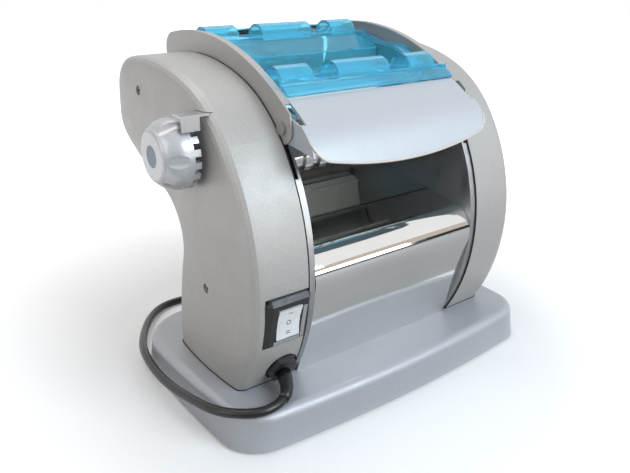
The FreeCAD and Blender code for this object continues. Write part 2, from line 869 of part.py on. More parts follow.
def arch_screws():
    screws = []
    for side in (-1, 1):
        for place_2d in ARCH_SCREWS:
            shank = side_rod(side, "1.5", "inner_half - 0.8", "arch_plane + arch_wall + 0.2", place_2d)
            head = side_rod(side, "3", "arch_plane + arch_wall", "arch_plane + arch_wall + 0.45", place_2d)
            nut = side_rod(side, "3", "inner_half - 0.8", "inner_half", place_2d)
            screws.append(join([shank, head, nut]))
    group("arch_screws", screws)


# Front hood: curved sheet with two side flanges that turn on the pivot screws

HOOD = [(PIVOT.x + y, PIVOT.y + z) for y, z in ((-40, -25), (-32.5, -9.5), (-19, 5), (1.5, 18))]


def front_hood():
    body = new_body("front_hood")
    run = tangent_run(HOOD, (0.34, 0.94))
    sheet_outline = free_outline(sketch(body, "YZ"), ribbon(run, 0, value("hood_sheet")))
    pad(body, sheet_outline, "2 * (hood_plane + hood_wall)", both_ways=True)
    # Front view: a bowed lower edge with rounded corners, and a narrower top between the arches
    half = value("hood_plane") + value("hood_wall")
    wide = half + 10
    below = lambda x, drop: V(x, PIVOT.y - drop, 0)
    flip = lambda q: V(-q.x, q.y, 0)
    bow = [below(10 - half, 17), below(0, 25), below(half - 10, 17)]
    corner = [below(half - 4.1, 12.8), below(half + 0.5, 4)]
    edges = [Part.Arc(bow[0], bow[1], bow[2]), Part.Arc(bow[2], corner[0], corner[1])]
    ring = [corner[1], below(wide, 4), below(wide, 38), below(-wide, 38), below(-wide, 4), flip(corner[1])]
    edges += [Part.LineSegment(a, b) for a, b in zip(ring, ring[1:])]
    edges.append(Part.Arc(flip(corner[1]), flip(corner[0]), bow[0]))
    pocket(body, free_outline(sketch(body, "XZ"), edges), "600", both_ways=True)
    notches = sketch(body, "XZ")
    top = value("pivot_height") + 4.5
    box_outline(notches, "guard_half + 0.2", "guard_half + 20", str(top), str(top + 30))
    box_outline(notches, "-(guard_half + 20)", "-(guard_half + 0.2)", str(top), str(top + 30))
    pocket(body, notches, "600", both_ways=True)
    for side in (-1, 1):
        lift = "hood_plane" if side > 0 else "-(hood_plane + hood_wall)"
        pad(body, free_outline(sketch(body, "YZ", lift), hood_flange(run)), "hood_wall")
    holes = sketch(body, "YZ")
    circle(holes, "pivot_y", "pivot_height", "pivot_radius + run_gap")
    pocket(body, holes, "2 * (hood_plane + hood_wall + 1)", both_ways=True)


def hood_flange(run):
    """Triangular flange from the hood's sheet to the round tab at the pivot."""
    tab = value("pivot_lug") - 1.2
    edge = inset(run, 0.4)
    foot, knee, top = edge[1][0] + V(-1.6, -4.0, 0), edge[1][0], edge[2][0] + V(-1.0, -1.0, 0)
    lift = polar_place(PIVOT, tab, 120)
    drop = polar_place(PIVOT, tab, 262)
    return [Part.LineSegment(foot, knee), Part.LineSegment(knee, top), Part.LineSegment(top, lift),
            Part.Arc(lift, polar_place(PIVOT, tab, 10), drop), Part.LineSegment(drop, foot)]


def hood_pivot_screws():
    screws = []
    for side in (-1, 1):
        shank = side_rod(side, "pivot_radius", "inner_half - 2.6", "arch_plane + arch_wall + 0.1", PIVOT)
        head = side_rod(side, "4.6", "arch_plane + arch_wall", "arch_plane + arch_wall + 1.6", PIVOT)
        nut = side_rod(side, "4.6", "inner_half - 2.8", "inner_half", PIVOT)
        screws.append(join([shank, head, nut]))
    group("hood_pivot_screws", screws)


# Clear guard: two ridges of half tubes, rails between them and a sloping rear wall

FRONT_RIDGE = V(-17.5, 243.5, 0)
REAR_RIDGE = V(80, 262, 0)
RIDGE_GAPS = [(-51.5, -29.5), (19.5, 40.5)]
RAIL = [(-5.6, 244.0), (9.6, 253), (30.8, 258), (53, 260.6), (68.5, 262.6)]


def ridge_outline(centre, front_leg, rear_leg):
    """A half tube on two legs, each a pair of outer and inner points at its foot."""
    outer = value("ridge_radius")
    inner = outer - value("guard_wall")
    left, right, top = V(-1, 0, 0), V(1, 0, 0), V(0, 1, 0)
    loop = [Part.Arc(centre + left * outer, centre + top * outer, centre + right * outer)]
    corners = [centre + right * outer] + [V(y, z, 0) for y, z in rear_leg] + [centre + right * inner]
    loop += [Part.LineSegment(a, b) for a, b in zip(corners, corners[1:])]
    loop.append(Part.Arc(centre + right * inner, centre + top * inner, centre + left * inner))
    corners = [centre + left * inner] + [V(y, z, 0) for y, z in front_leg] + [centre + left * outer]
    loop += [Part.LineSegment(a, b) for a, b in zip(corners, corners[1:])]
    return loop


def hopper_guard():
    body = new_body("hopper_guard")
    half = "2 * guard_half"
    front = ridge_outline(FRONT_RIDGE, [(-36.2, 236.9), (-37.2, 238.4)], [(4.9, 229.6), (3.1, 228.4)])
    pad(body, free_outline(sketch(body, "YZ"), front), half, both_ways=True)
    rear = ridge_outline(REAR_RIDGE, [(67.5, 259.7), (52, 250.8), (52, 237), (50, 237), (50, 252)],
                         [(92.6, 260.6), (103, 263.6), (102.4, 261.7), (91.0, 258.4)])
    pad(body, free_outline(sketch(body, "YZ"), rear), half, both_ways=True)
    # Gaps in the ridges, with a low web left across each
    ends = "guard_half + 1"
    for centre, level in ((FRONT_RIDGE, "246.5"), (REAR_RIDGE, "265")):
        gaps = sketch(body, "XY", level)
        low, high = str(centre.x - 13), str(centre.x + 13)
        for start, end in RIDGE_GAPS:
            box_outline(gaps, str(start), str(end), low, high)
        box_outline(gaps, "66.5", ends, low, high)
        pocket(body, gaps, "20", back=True)
        webs = sketch(body, "XY", level + " - 3")
        low, high = str(centre.x - 11), str(centre.x + 11)
        for start, end in RIDGE_GAPS + [(66.5, 79)]:
            box_outline(webs, str(start - 0.5), str(end + 0.5) if end < 70 else "guard_half", low, high)
        pad(body, webs, "guard_wall - 0.2")
    rails = ribbon(tangent_run(RAIL, (0.84, 0.54)), 0, value("guard_wall"))
    pad(body, free_outline(sketch(body, "YZ", "guard_half - 12.5"), rails), "12.5")
    pad(body, free_outline(sketch(body, "YZ", "-guard_half"), rails), "4")
    wall = [(-29, 243.4), (-6, 243.8), (9.6, 252), (30.8, 257), (53, 259.6), (68, 261.5), (91, 261.5),
            (91, 246), (77, 242), (56, 244), (30, 242), (8, 234), (5.5, 228), (-4.5, 228), (-7, 236)]
    for lift in ("guard_half - guard_wall", "-guard_half"):
        polygon_sketch = sketch(body, "YZ", lift)
        pad(body, polygon(polygon_sketch, [(str(y), str(z)) for y, z in wall]), "guard_wall")
    holes = sketch(body, "YZ")
    for place_2d in GUARD_SCREWS:
        circle(holes, place_2d.x, place_2d.y, "1.5 + pin_gap")
    pocket(body, holes, "2 * guard_half + 2", both_ways=True)


def guard_screws():
    screws = []
    for side in (-1, 1):
        for place_2d in GUARD_SCREWS:
            shank = side_rod(side, "1.5", "guard_half - 3.5", "inner_half + plate_wall + 0.5", place_2d)
            head = side_rod(side, "3", "inner_half + plate_wall", "inner_half + plate_wall + 1.6", place_2d)
            nut = side_rod(side, "2.8", "guard_half - guard_wall - 2", "guard_half - guard_wall", place_2d)
            screws.append(join([shank, head, nut]))
    group("guard_screws", screws)


# Rollers

def axle_body(name, centre, plane="0"):
    return new_body(name, plane, centre.x, centre.y, AXLE_TURN)


def roller_outline(name, centre, steps):
    """A turned roller from (radius, x) corners, closed on its axis."""
    body = axle_body(name, centre)
    corners = [("0", steps[0][1])] + steps + [("0", steps[-1][1])]
    turned(body, polygon(sketch(body, "XZ"), corners))
    return body


def smooth_roller(name, centre):
    roller_outline(name, centre, [
        ("roller_journal", "-(gear_plane + gear_wall)"), ("roller_journal", "-roller_half"),
        ("roller_radius", "-roller_half"), ("roller_radius", "roller_half"),
        ("roller_journal", "roller_half"), ("roller_journal", "carriage_plane + carriage_wall")])


def cutter_roller(name, centre, first_ring):
    """Wide rings on the left half, the other roller's rings between them, and a fine half."""
    steps = [("cutter_journal", "-(gear_plane + gear_wall)"), ("cutter_journal", "-roller_half")]
    edge = -value("roller_half")
    ring, ring_pitch = value("ring_width"), value("ring_pitch")
    groove, crest = "cutter_groove", "cutter_radius"
    steps.append((groove, "-roller_half"))
    middle = edge + first_ring
    while middle + ring / 2 < -18:
        steps += [(groove, str(middle - ring / 2)), (crest, str(middle - ring / 2)),
                  (crest, str(middle + ring / 2)), (groove, str(middle + ring / 2))]
        middle += ring_pitch
    steps += [(groove, "-14"), ("fine_radius", "-14")]
    steps += [("fine_radius", "roller_half"), ("cutter_journal", "roller_half"),
              ("cutter_journal", "inner_half + plate_wall + 2")]
    roller_outline(name, centre, steps)


def bushes(name, side):
    pieces = []
    for centre, journal in ((REAR, "roller_journal"), (CUTTER_REAR, "cutter_journal"),
                            (CUTTER_FRONT, "cutter_journal")):
        outer = side_rod(side, journal + " + bush_wall", "inner_half - end_gap", "inner_half + plate_wall", centre)
        bore = side_rod(side, journal + " + run_gap", "inner_half - 1", "inner_half + plate_wall + 1", centre)
        pieces.append(cut(outer, bore))
    group(name, pieces)


def roller_scrapers():
    blades = []
    for y in ("front_roller_y - 5.6", "rear_roller_y + 5.6 - 0.8"):
        blades.append(block(("-(inner_half - end_gap)", "inner_half - end_gap"), (y, y + " + 0.8"),
                            ("roller_height - 25.4", "roller_height - 15.4")))
    group("roller_scrapers", blades)


# Carriages that hold the front roller and move it from the rear one

def carriages():
    pieces = []
    for side in (-1, 1):
        low, high = "carriage_plane", "inner_half + plate_wall + carriage_wall"
        span = (low, high) if side > 0 else ("-(%s)" % high, "-(%s)" % low)
        plate = block(span, ("carriage_front + 3", "carriage_front + carriage_length"),
                      ("roller_height - carriage_half", "roller_height + carriage_half"))
        nose = block(span, ("carriage_front", "carriage_front + 6"),
                     ("knob_height - 5", "roller_height + carriage_half - 4"))
        bore = side_rod(side, "roller_journal + run_gap", "inner_half", "gear_plane", FRONT)
        pieces.append(cut(join([plate, nose]), bore))
    group("roller_carriages", pieces)


def cam_face(x):
    """Spiral cam outline about the knob's axis, highest towards the carriage."""
    top = value("cam_radius")
    fall = value("roller_travel") / 160.0
    at = lambda degrees, reach: upright(polar_place(KNOB_AXIS, reach, -degrees), x)
    stops = [0, 40, 80, 120, 160]
    edges = []
    for a, b in zip(stops, stops[1:]):
        middle = (a + b) / 2
        edges.append(Part.Arc(at(a, top - fall * a), at(middle, top - fall * middle), at(b, top - fall * b)).toShape())
    low = top - fall * 160 - 0.6
    edges.append(Part.makeLine(at(160, top - fall * 160), at(166, low)))
    edges.append(Part.Arc(at(166, low), at(250, low), at(334, low)).toShape())
    edges.append(Part.makeLine(at(334, low), at(350, top)))
    edges.append(Part.Arc(at(350, top), at(355, top), at(0, top)).toShape())
    return Part.Face(Part.Wire(edges))


def knob_spindle():
    shaft = tool_rod(value("spindle_radius"), -value("knob_plane + knob_depth - spindle_short"),
                     value("carriage_plane + carriage_wall"), KNOB_AXIS.x, KNOB_AXIS.y)
    wide = value("carriage_wall - end_gap")
    plane = value("carriage_plane")
    for start in (plane, -plane - wide):
        shaft = shaft.fuse(cam_face(start).extrude(V(wide, 0, 0)))
    shaped("knob_spindle", shaft)


# Gears: a disc with tooth spaces cut out and repeated round it

def half_space(teeth, radius):
    """Half the angle of a tooth space at a radius, for an involute flank."""
    base = value("gear_module") * teeth / 2 * math.cos(PRESSURE_ANGLE)
    tilt = math.acos(min(1.0, base / radius))
    roll = math.tan(tilt) - tilt
    start = math.tan(PRESSURE_ANGLE) - PRESSURE_ANGLE
    tooth = math.pi / (2 * teeth) + start - roll - BACKLASH / (value("gear_module") * teeth)
    return math.pi / teeth - tooth


def gear(name, kind, centre, tooth_angle, bore):
    """A spur gear with a tooth at the angle given, in degrees from +Y towards +Z."""
    teeth = TEETH[kind]
    module, reach = value("gear_module"), pitch(kind)
    body = axle_body(name, centre, "-(gear_plane + gear_wall)")
    disc = sketch(body, "XY")
    circle(disc, "0", "0", "gear_module * %s" % (teeth / 2 + ADDENDUM))
    circle(disc, "0", "0", bore + " + run_gap")
    pad(body, disc, "gear_wall")
    middle = math.radians(tooth_angle) + math.pi / teeth
    root, tip = reach - DEDENDUM * module, reach + ADDENDUM * module
    flank = [(radius, half_space(teeth, radius)) for radius in (root, reach, tip)]
    flank.append((tip * 1.2, flank[-1][1]))
    corners = [(radius, middle - wide) for radius, wide in flank]
    corners += [(radius, middle + wide) for radius, wide in reversed(flank)]
    points = [V(radius * math.cos(a), radius * math.sin(a), 0) for radius, a in corners]
    space = sketch(body, "XY")
    free_outline(space, [Part.LineSegment(a, b) for a, b in zip(points, points[1:] + points[:1])])
    cut_space = pocket(body, space, "gear_wall", back=True)
    polar(body, cut_space, teeth)


def meshed(angle, from_kind, from_place, to_kind, to_place):
    """Tooth angle that puts a gear in mesh with its neighbour's tooth angle."""
    way = math.degrees(math.atan2(to_place.y - from_place.y, to_place.x - from_place.x))
    step_from, step_to = 360.0 / TEETH[from_kind], 360.0 / TEETH[to_kind]
    behind = ((way - angle) / step_from) % 1.0
    return way + 180.0 + (behind + 0.5) * step_to


def gear_train():
    rear = 0.0
    upper = meshed(rear, "roller_gear", REAR, "upper_idler", UPPER_IDLER)
    lower = meshed(upper, "upper_idler", UPPER_IDLER, "lower_idler", LOWER_IDLER)
    pinion = meshed(lower, "lower_idler", LOWER_IDLER, "pinion", PINION)
    front = meshed(rear, "roller_gear", REAR, "roller_gear", FRONT)
    low = meshed(lower, "lower_idler", LOWER_IDLER, "cutter_idler", CUTTER_IDLER_LOW)
    top = meshed(low, "cutter_idler", CUTTER_IDLER_LOW, "cutter_idler", CUTTER_IDLER_TOP)
    cutter_front = meshed(top, "cutter_idler", CUTTER_IDLER_TOP, "cutter_gear", CUTTER_FRONT)
    cutter_rear = meshed(cutter_front, "cutter_gear", CUTTER_FRONT, "cutter_gear", CUTTER_REAR)
    gear("rear_roller_gear", "roller_gear", REAR, rear, "roller_journal")
    gear("front_roller_gear", "roller_gear", FRONT, front, "roller_journal")
    gear("upper_idler", "upper_idler", UPPER_IDLER, upper, "stud_radius")
    gear("lower_idler", "lower_idler", LOWER_IDLER, lower, "stud_radius")
    gear("output_pinion", "pinion", PINION, pinion, "shaft_radius")
    gear("lower_cutter_idler", "cutter_idler", CUTTER_IDLER_LOW, low, "stud_radius")
    gear("upper_cutter_idler", "cutter_idler", CUTTER_IDLER_TOP, top, "stud_radius")
    gear("front_cutter_gear", "cutter_gear", CUTTER_FRONT, cutter_front, "cutter_journal")
    gear("rear_cutter_gear", "cutter_gear", CUTTER_REAR, cutter_rear, "cutter_journal")


def gear_studs():
    studs = []
    for place_2d in STUDS:
        stem = side_rod(-1, "stud_radius", "inner_half + plate_wall + run_gap",
                        "bracket_plane - run_gap", place_2d)
        collar = side_rod(-1, "stud_radius + 1.5", "inner_half + plate_wall + run_gap",
                          "gear_plane - end_gap", place_2d)
        tail = side_rod(-1, "2", "inner_half - 1", "bracket_plane + bracket_wall + 1", place_2d)
        studs.append(join([stem, collar, tail]))
    group("gear_studs", studs)


BRACKET = [by_roller(y, z) for y, z in (
    (-106.2, -91), (-107.2, -57), (-86.2, -29), (-65.2, -27), (-19.2, -19), (18.8, -12), (26.8, -17),
    (16.8, -27), (-3.2, -41), (-24.2, -85), (-23.2, -123), (-33.2, -124), (-77.2, -118), (-80.2, -95))]


def gear_bracket():
    body = new_body("gear_bracket")
    plate = sketch(body, "YZ", "-(bracket_plane + bracket_wall)")
    pad(body, polygon(plate, [(corner.x, corner.y) for corner in BRACKET]), "bracket_wall")
    feet = sketch(body, "YZ", "-(bracket_plane + 0.5)")
    for place_2d in STANDOFFS:
        circle(feet, place_2d.x, place_2d.y, "3.2")
    pad(body, feet, "bracket_plane + 0.5 - inner_half - plate_wall - run_gap")
    holes = sketch(body, "YZ", "-(bracket_plane + bracket_wall)")
    for place_2d in STUDS:
        circle(holes, place_2d.x, place_2d.y, "2 + pin_gap")
    circle(holes, PINION.x, PINION.y, "shaft_radius + 1")
    pocket(body, holes, "bracket_wall", back=True)


# Motor: can, end cap and gearhead between the plates

def motor_body():
    start = "-(inner_half - end_gap - head_length - run_gap)"
    can = rod("motor_radius", start, start + " + motor_length", MOTOR_AXIS.x, MOTOR_AXIS.y)
    group("motor_body", [can])


def motor_end_cap():
    start = "-(inner_half - end_gap - head_length - 2 * run_gap) + motor_length"
    cap = rod("motor_radius - 3", start, start + " + 9", MOTOR_AXIS.x, MOTOR_AXIS.y)
    hub = rod("8", start + " + 8", start + " + 14", MOTOR_AXIS.x, MOTOR_AXIS.y)
    group("motor_end_cap", [join([cap, hub])])


def gearhead():
    low, high = "-(inner_half - end_gap)", "-(inner_half - end_gap - head_length)"
    wide = rod("motor_radius - 2", low, high, MOTOR_AXIS.x, MOTOR_AXIS.y)
    narrow = rod("13", low, high, PINION.x, PINION.y)
    middle = block((low, high), (str(MOTOR_AXIS.x - 3), str(PINION.x + 9)), (str(MOTOR_AXIS.y), str(PINION.y)))
    bore = rod("shaft_radius + run_gap", low + " - 1", low + " + 10", PINION.x, PINION.y)
    group("gearhead", [cut(join([wide, narrow, middle]), bore)])


def output_shaft():
    shaft = rod("shaft_radius", "-(bracket_plane + bracket_wall + 1)", "-(inner_half - end_gap - 9)",
                PINION.x, PINION.y)
    group("output_shaft", [shaft])


def motor_cradle():
    """A bent saddle that stands on the base and takes the can's weight."""
    body = new_body("motor_cradle")
    saddle = sketch(body, "YZ", "-20")
    y, z = MOTOR_AXIS.x, MOTOR_AXIS.y
    box_outline(saddle, str(y - 24), str(y + 24), "base_top", str(z - 12))
    pad(body, saddle, "14")
    seat = sketch(body, "YZ", "-21")
    circle(seat, str(y), str(z), "motor_radius + end_gap")
    pocket(body, seat, "16", back=True)
    hollow = sketch(body, "YZ", "-18")
    box_outline(hollow, str(y - 30), str(y + 30), "base_top + 2", str(z - 2))
    pocket(body, hollow, "12", back=True)


def tie_rods():
    rods, nuts = [], []
    for place_2d in TIE_RODS:
        bar = rod("rod_radius", "-(inner_half - run_gap)", "inner_half - run_gap", place_2d.x, place_2d.y)
        reach = "(inner_half + plate_wall + nut_height + 0.5)"
        ends = rod("rod_end", "-" + reach, reach, place_2d.x, place_2d.y)
        rods.append(join([bar, ends]))
        for side in (-1, 1):
            nut = side_rod(side, "nut_radius", "inner_half + plate_wall + run_gap",
                           "inner_half + plate_wall + nut_height", place_2d)
            bore = side_rod(side, "rod_end + run_gap", "inner_half", "inner_half + plate_wall + nut_height + 1",
                            place_2d)
            nuts.append(cut(nut, bore))
    group("tie_rods", rods)
    group("tie_rod_nuts", nuts)


# Casings: pillow-shaped covers over the plates' outer sides

def reach_out(solid, place_2d):
    """How far out, along X, a solid's outer face lies at a place."""
    probe = Part.makeLine(V(-200, place_2d.x, place_2d.y), V(200, place_2d.x, place_2d.y))
    return max(abs(vertex.X) for vertex in probe.common(solid).Vertexes)


def tilted_box(width, tall, low, high, centre, turn):
    """A box in a turned frame, from low to high along its outward axis."""
    made = Part.makeBox(width, tall, high - low, V(-width / 2, -tall / 2, low))
    made.Placement = FreeCAD.Placement(centre, turn)
    return made


SWITCH_TURN = FreeCAD.Rotation(V(1, 0, 0), 102)
GLAND_TURN = FreeCAD.Rotation(V(1, 0, 0), 116)
SWITCH_CENTRE = V(value("switch_x"), value("switch_y"), value("switch_height"))
GLAND_CENTRE = V(value("gland_x"), value("gland_y"), value("gland_height"))


def left_openings():
    """Cut-outs of the left casing for the switch, the gland, the spindle and the index bracket."""
    gap = value("end_gap")
    seat = tilted_box(value("bezel_width") + gap, value("bezel_tall") + gap, -value("bezel_sunk"), 20,
                      SWITCH_CENTRE, SWITCH_TURN)
    body_hole = tilted_box(value("switch_body_width") + gap, value("switch_body_tall") + gap, -30, 5,
                           SWITCH_CENTRE, SWITCH_TURN)
    gland = Part.makeCylinder(value("gland_thread + pin_gap"), 40, V(0, 0, -20))
    gland.Placement = FreeCAD.Placement(GLAND_CENTRE, GLAND_TURN)
    flange_seat = Part.makeCylinder(value("gland_flange") + gap, 20, V(0, 0, value("gland_seat")))
    flange_seat.Placement = FreeCAD.Placement(GLAND_CENTRE, GLAND_TURN)
    spindle = tool_rod(value("spindle_radius") + 3, -100, -150, KNOB_AXIS.x, KNOB_AXIS.y)
    wide, lift, sheet_metal = value("bracket_width"), value("index_height"), value("index_wall")
    front = value("index_y") - wide / 2
    slot = Part.makeBox(40, wide + 2 * gap, sheet_metal + 2 * gap, V(-150, front - gap, lift - gap))
    return [seat, body_hole, gland, flange_seat, spindle, slot]


def casing(name, side):
    start, wall = value("casing_start"), value("casing_wall")
    outer = bulged_solid(side, 0, start, OUTER_SWELL)
    shell = outer.cut(bulged_solid(side, wall, start - 1, INNER_SWELL))
    for place_2d in CASING_SCREWS:
        out = reach_out(outer, place_2d)
        boss = tool_rod(value("boss_radius"), side * (out - value("boss_length")), side * (out + 3),
                        place_2d.x, place_2d.y)
        shell = shell.fuse(boss.common(outer))
    for place_2d in CASING_SCREWS:
        out = reach_out(outer, place_2d)
        sink = tool_rod(value("screw_head + pin_gap"), side * (out - value("screw_sink")), side * (out + 9),
                        place_2d.x, place_2d.y)
        hole = tool_rod(value("screw_radius + pin_gap"), side * (out - 20), side * (out + 9),
                        place_2d.x, place_2d.y)
        shell = shell.cut(sink).cut(hole)
    if side < 0:
        for opening in left_openings():
            shell = shell.cut(opening)
    shaped(name, shell)


def casing_fasteners():
    """Posts that stand on the plates and the screws that hold the casings to them."""
    posts, screws = [], []
    for side in (-1, 1):
        outer = bulged_solid(side, 0, value("casing_start"), OUTER_SWELL)
        for number, place_2d in enumerate(CASING_SCREWS):
            out = reach_out(outer, place_2d)
            foot = value("inner_half + plate_wall + run_gap")
            if side < 0 and number == 1:
                foot = value("bracket_plane + bracket_wall + run_gap")
            top = out - value("boss_length + run_gap")
            post_rod = tool_rod(value("post_radius"), side * foot, side * top, place_2d.x, place_2d.y)
            bore = tool_rod(value("screw_radius + run_gap"), side * (top - 12), side * (top + 1),
                            place_2d.x, place_2d.y)
            posts.append(post_rod.cut(bore))
            seat = out - value("screw_sink")
            shank = tool_rod(value("screw_radius"), side * (top - 10), side * (seat + 0.5), place_2d.x, place_2d.y)
            head = tool_rod(value("screw_head"), side * seat, side * (seat + 2), place_2d.x, place_2d.y)
            across = Part.makeBox(3, 1.0, 2 * value("screw_head") - 1.6,
                                  V(side * (seat + 1.2) - (3 if side < 0 else 0), place_2d.x - 0.5,
                                    place_2d.y - value("screw_head") + 0.8))
            along = across.copy()
            along.rotate(V(0, place_2d.x, place_2d.y), V(1, 0, 0), 90)
            screws.append(shank.fuse(head).cut(across).cut(along))
    shaped("casing_posts", Part.makeCompound(posts))
    shaped("casing_screws", Part.makeCompound(screws))


# Thickness knob: a tapered grip with finger dents and a notched rear rim

def knob():
    body = axle_body("knob", KNOB_AXIS)
    rear, front = -value("knob_plane"), -value("knob_plane + knob_depth")
    rim, face = value("knob_radius"), value("knob_face")
    shoulder, brow = V(rim, rear - 7.5, 0), V(face + 3, front + 2, 0)
    hub, hollow, bore = 9.0, rim - 6, value("spindle_radius + run_gap")
    cap, dish, end = value("knob_cap") + 0.1, front + 1.5, front + value("spindle_short") - 0.5
    swell = (shoulder + brow) * 0.5 + V(1.7, -0.8, 0)
    corners = [(face, front), (cap, front), (cap, dish), (0, dish), (0, end), (bore, end), (bore, rear - 1.5),
               (hub, rear - 1.5), (hub, rear - 7.5), (hollow, rear - 7.5), (hollow, rear), (rim, rear)]
    points = [V(r, x, 0) for r, x in corners] + [shoulder]
    edges = [Part.LineSegment(a, b) for a, b in zip(points, points[1:])]
    edges.append(Part.Arc(shoulder, swell, brow))
    edges.append(Part.Arc(brow, V(face + 1.9, front + 0.6, 0), points[0]))
    turned(body, free_outline(sketch(body, "XZ"), edges))
    notch = sketch(body, "XY", "-knob_plane")
    box_outline(notch, "knob_radius - 7", "knob_radius + 1", "-notch_width / 2", "notch_width / 2")
    polar(body, pocket(body, notch, "notch_depth"), 18)
    # Each dent is the mark of a cylinder laid along the grip's slope
    slope = (shoulder - brow).normalize()
    outward = V(-slope.y, slope.x, 0)
    if outward.x < 0:
        outward = outward * -1
    reach = value("dent_radius")
    axis = (shoulder + brow) * 0.5 + outward * (reach + 0.1) - slope * 20
    dent = body.newObject("PartDesign::SubtractiveCylinder", "finger_dent")
    dent.Radius = reach
    dent.Height = 40
    dent.Placement = FreeCAD.Placement(V(axis.x, 0, axis.y), FreeCAD.Rotation(V(0, 0, 1), V(slope.x, 0, slope.y)))
    doc.recompute()
    polar(body, dent, 6)


def knob_cap():
    group("knob_cap", [rod("knob_cap", "-(knob_plane + knob_depth - 0.1)", "-(knob_plane + knob_depth - 1.45)",
                           "knob_y", "knob_height")])


def index_bracket():
    front, back = "index_y - bracket_width / 2", "index_y + bracket_width / 2"
    plate = block(("-(knob_plane + 11)", "-(casing_bulge - 14)"), (front, back),
                  ("index_height", "index_height + index_wall"))
    leg = block(("-(knob_plane + 11)", "-(knob_plane - 2)"), (front, front + " + index_wall"),
                ("index_height - 9", "index_height + index_wall"))
    group("index_bracket", [join([plate, leg])])


# Rocker switch: a raised frame, the rocker in it and the body behind

def turned_body(name, turn, centre_rules):
    x, y, z = centre_rules
    return new_body(name, x, y, z, turn)


SWITCH_AT = ("switch_x", "switch_y", "switch_height")
GLAND_AT = ("gland_x", "gland_y", "gland_height")


def centred_box(made, width, tall):
    half_w, half_t = "(%s) / 2" % width, "(%s) / 2" % tall
    return box_outline(made, "-(%s)" % half_w, half_w, "-(%s)" % half_t, half_t)


def switch_bezel():
    body = turned_body("switch_bezel", SWITCH_TURN, SWITCH_AT)
    pad(body, centred_box(sketch(body, "XY", "-(bezel_sunk - run_gap)"), "bezel_width", "bezel_tall"),
        "bezel_proud + bezel_sunk - run_gap")
    top = value("bezel_proud") - 0.01
    edges = picked(body, lambda a, b: min(a.z, b.z) > top)
    dressed(body, "Chamfer", "bezel_bevel", edges, "Size", "bezel_bevel")
    opening = centred_box(sketch(body, "XY", "bezel_proud"), "rocker_width + 0.8", "rocker_tall + 1.6")
    pocket(body, opening, "bezel_proud + bezel_sunk + 1")


def switch_body():
    body = turned_body("switch_body", SWITCH_TURN, SWITCH_AT)
    pad(body, centred_box(sketch(body, "XY", "-bezel_sunk"), "switch_body_width", "switch_body_tall"),
        "switch_depth", back=True)


def switch_rocker():
    """A rocker with a hollowed face, as wide as its opening less the clearance."""
    body = turned_body("switch_rocker", SWITCH_TURN, SWITCH_AT)
    tall, proud = value("rocker_tall") / 2, value("bezel_proud")
    side = sketch(body, "YZ")
    top, mid, low = proud + 0.9, proud - 0.6, -3.0
    rim = V(tall, top, 0)
    edges = [Part.Arc(V(-rim.x, rim.y, 0), V(0, mid, 0), rim),
             Part.LineSegment(rim, V(tall - 0.4, low, 0)),
             Part.LineSegment(V(tall - 0.4, low, 0), V(-tall + 0.4, low, 0)),
             Part.LineSegment(V(-tall + 0.4, low, 0), V(-rim.x, rim.y, 0))]
    pad(body, free_outline(side, edges), "rocker_width", both_ways=True)
    # Pivot stubs that reach towards the frame on both sides
    pad(body, circle(sketch(body, "YZ"), "0", "0", "1.5"), "rocker_width + 0.6", both_ways=True)


# Cable gland: threaded body through the casing's wall and a hexagonal nut over it

def gland():
    body = turned_body("gland_body", GLAND_TURN, GLAND_AT)
    end = "gland_seat + gland_lip + gland_length + 2 * run_gap + 0.3"
    stem = sketch(body, "XY", "-9")
    circle(stem, "0", "0", "gland_thread")
    circle(stem, "0", "0", "cord_radius + cord_gap")
    pad(body, stem, "9 + " + end)
    flange = sketch(body, "XY", "gland_seat + run_gap")
    circle(flange, "0", "0", "gland_flange")
    circle(flange, "0", "0", "gland_thread - 1")
    pad(body, flange, "gland_lip")
    nut = turned_body("gland_nut", GLAND_TURN, GLAND_AT)
    hexagon = sketch(nut, "XY", "gland_seat + gland_lip + 2 * run_gap")
    reach = "gland_across / 2 / cos(30)"
    corners = [("(%s) * cos(%d)" % (reach, a), "(%s) * sin(%d)" % (reach, a)) for a in range(0, 360, 60)]
    polygon(hexagon, corners)
    circle(hexagon, "0", "0", "gland_thread + run_gap")
    pad(nut, hexagon, "gland_length")


# Supply cord: straight runs joined by tangent arcs, chosen by hand from the gland to the coil

CORD_ROUTE = [(-99.1, -70.1, 37.2), (-128.5, -83, 34.6), (-155.5, -62, 33.6), (-160.0, -25, 26.5),
              (-161.5, 14, 19.5), (-158.5, 50, 16.5), (-152.8, 78, 15.0), (-140, 107, 10.5),
              (-118.5, 142, 5.5), (-96, 160.5, 3.6), (-66, 159.5, 3.5), (-40, 144, 3.5), (-16, 126, 3.5)]


def cord_points():
    inward = GLAND_TURN.multVec(V(0, 0, -10.5))
    coil_start = V(value("coil_x - 2 * cord_radius"), value("coil_y - coil_outer"), value("cord_radius"))
    return [GLAND_CENTRE + inward] + [V(*point) for point in CORD_ROUTE] + [coil_start]


def softened(points):
    """The route's lines and arcs; each arc takes 0.45 of the shorter run beside it."""
    edges, start = [], points[0]
    for before, corner, after in zip(points, points[1:], points[2:]):
        back, ahead = before - corner, after - corner
        reach = 0.45 * min(back.Length, ahead.Length)
        half_turn = (math.pi - back.getAngle(ahead)) / 2
        radius = reach / math.tan(half_turn)
        print("cord bend radius %.1f" % radius)
        enter = corner + back.normalize() * reach
        leave = corner + ahead.normalize() * reach
        inward = (back + ahead).normalize()
        middle = corner + inward * (radius / math.cos(half_turn) - radius)
        edges.append(Part.makeLine(start, enter))
        edges.append(Part.Arc(enter, middle, leave).toShape())
        start = leave
    edges.append(Part.makeLine(start, points[-1]))
    return edges


